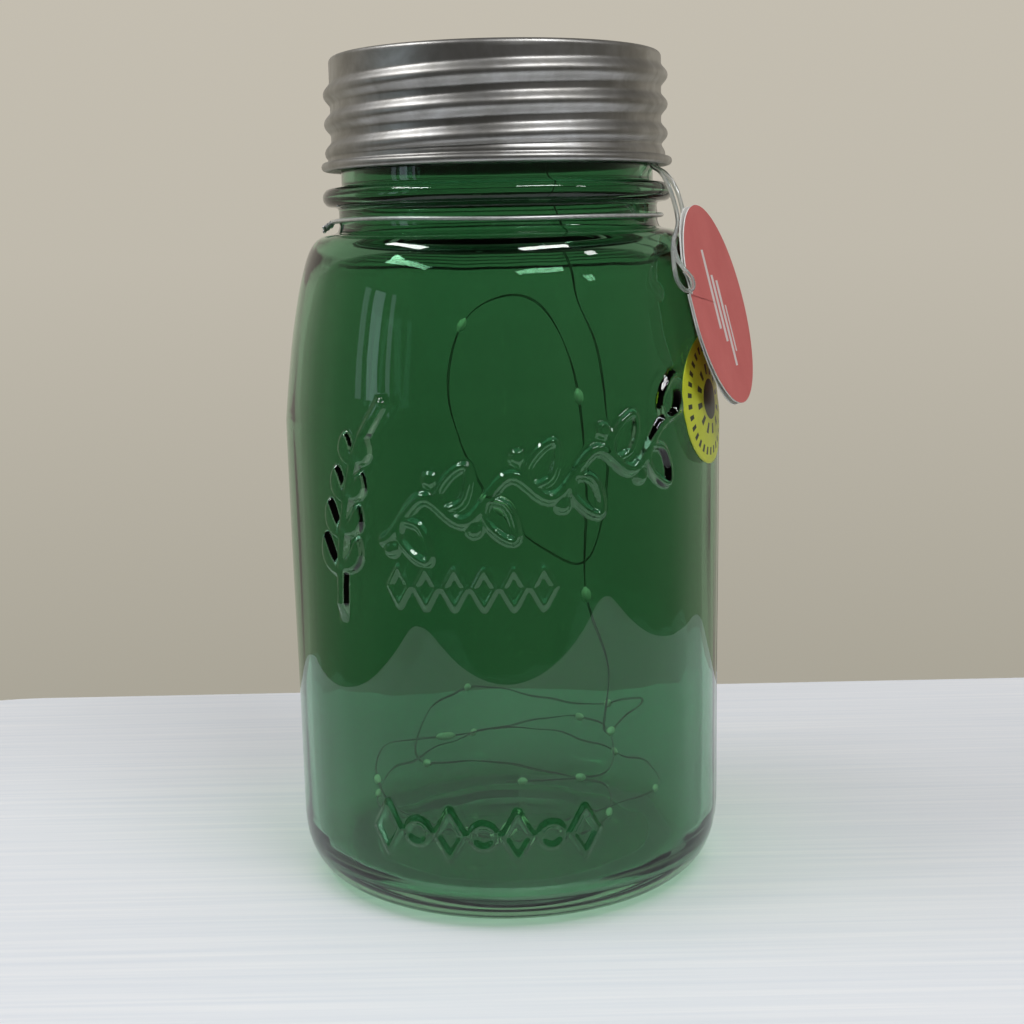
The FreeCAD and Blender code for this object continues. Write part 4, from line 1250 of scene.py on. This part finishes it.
def surroundings():
    """A plain beige room: bright behind the jar, dark in front of it and overhead."""
    world = bpy.data.worlds.new("room")
    bpy.context.scene.world = world
    world.use_nodes = True
    w = Nodes(world.node_tree)
    axes = w.add("ShaderNodeSeparateXYZ")
    w.link(w.add("ShaderNodeTexCoord").outputs["Generated"], axes.inputs[0])
    _, y, z = axes.outputs
    wall = w.ramp(w.share(z, -0.28, 0.25), [(0.0, WALL_LOW), (0.5, WALL_MIDDLE), (1.0, WALL_HIGH)])
    depth = w.ramp(w.share(y, -1.0, 1.0), ROOM_DEPTH)
    ceiling = w.ramp(w.share(z, 0.15, 0.8), [(0.0, grey(1.0)), (1.0, CEILING_DARK)])
    room = w.mix(1.0, w.mix(1.0, wall, depth, "MULTIPLY"), ceiling, "MULTIPLY")
    ray = w.add("ShaderNodeLightPath")
    through = w.mix(ray.outputs["Is Transmission Ray"], room, w.mix(0.5, room, wall))
    seen = w.mix(ray.outputs["Is Camera Ray"], through, wall)
    w.link(seen, w.tree.nodes["Background"].inputs["Color"])


LIGHTS_LOOK_AT = (0, 0, 0.12)        # metres
PANELS_AWAY_M = 1.2
OVERHEAD_AWAY_M = 1.3
WINDOW_UP_DEG = 12.0
WINDOW_TALL_M = 0.34
WINDOW_BLUE = (0.70, 0.88, 1.0)
WHITE = (1.0, 1.0, 1.0)
# Ceiling panels: name, bearing, elevation, width and height in metres, watts
CEILING_PANELS = [
    ("ceiling_left", -80.0, 54.0, 0.55, 0.12, 4.2),
    ("ceiling_right", 36.0, 54.0, 0.50, 0.12, 4.2),
    ("ceiling_far_right", 62.0, 38.0, 0.12, 0.10, 0.6),
]
# The panes of one window at the left: bearing, width in metres, watts
WINDOW_PANES = [(-78.0, 0.09, 0.08), (-69.0, 0.14, 0.22), (-60.0, 0.05, 0.05)]


def panel(name, bearing_deg, elevation_deg, away_m, width_m, height_m, watts, colour):
    """A soft rectangular light that looks at the jar's middle. Its bearing is from the front towards +X."""
    light = bpy.data.lights.new(name, "AREA")
    light.shape = "RECTANGLE"
    light.size = width_m
    light.size_y = height_m
    light.energy = watts
    light.color = colour
    obj = bpy.data.objects.new(name, light)
    bpy.context.scene.collection.objects.link(obj)
    a, e = math.radians(bearing_deg), math.radians(elevation_deg)
    way = Vector((math.sin(a) * math.cos(e), -math.cos(a) * math.cos(e), math.sin(e)))
    obj.location = Vector(LIGHTS_LOOK_AT) + way * away_m
    obj.rotation_euler = way.to_track_quat("Z", "Y").to_euler()
    return obj


def build_lights():
    """A soft light overhead that no reflection shows, and panels that the glass and metal do reflect."""
    overhead = panel("overhead", 0.0, 80.0, OVERHEAD_AWAY_M, 1.2, 1.0, 13.0, (0.98, 0.99, 1.0))
    overhead.visible_glossy = False
    overhead.visible_transmission = False
    for name, bearing, elevation, width, height, watts in CEILING_PANELS:
        panel(name, bearing, elevation, PANELS_AWAY_M, width, height, watts, WHITE)
    for bearing, width, watts in WINDOW_PANES:
        panel("window_%d" % -bearing, bearing, WINDOW_UP_DEG, PANELS_AWAY_M, width, WINDOW_TALL_M, watts,
              WINDOW_BLUE)


def build_camera():
    """The camera at the photo's angle."""
    data = bpy.data.cameras.new("camera")
    data.lens = CAMERA_LENS_MM
    data.sensor_width = CAMERA_SENSOR_MM
    data.clip_start = 0.01
    camera = bpy.data.objects.new("camera", data)
    bpy.context.scene.collection.objects.link(camera)
    down, roll = math.radians(CAMERA_DOWN_DEG), math.radians(CAMERA_ROLL_DEG)
    forward = Vector((0, math.cos(down), -math.sin(down)))
    level_right = Vector((1, 0, 0))
    level_up = Vector((0, math.sin(down), math.cos(down)))
    right = level_right * math.cos(roll) + level_up * math.sin(roll)
    up = level_up * math.cos(roll) - level_right * math.sin(roll)
    turn = Matrix((right, up, -forward)).transposed().to_4x4()
    camera.matrix_world = Matrix.Translation(CAMERA_AT) @ turn
    bpy.context.scene.camera = camera


build_object()
build_table()
surroundings()
build_lights()
build_camera()
bpy.context.scene.view_settings.view_transform = "Standard"
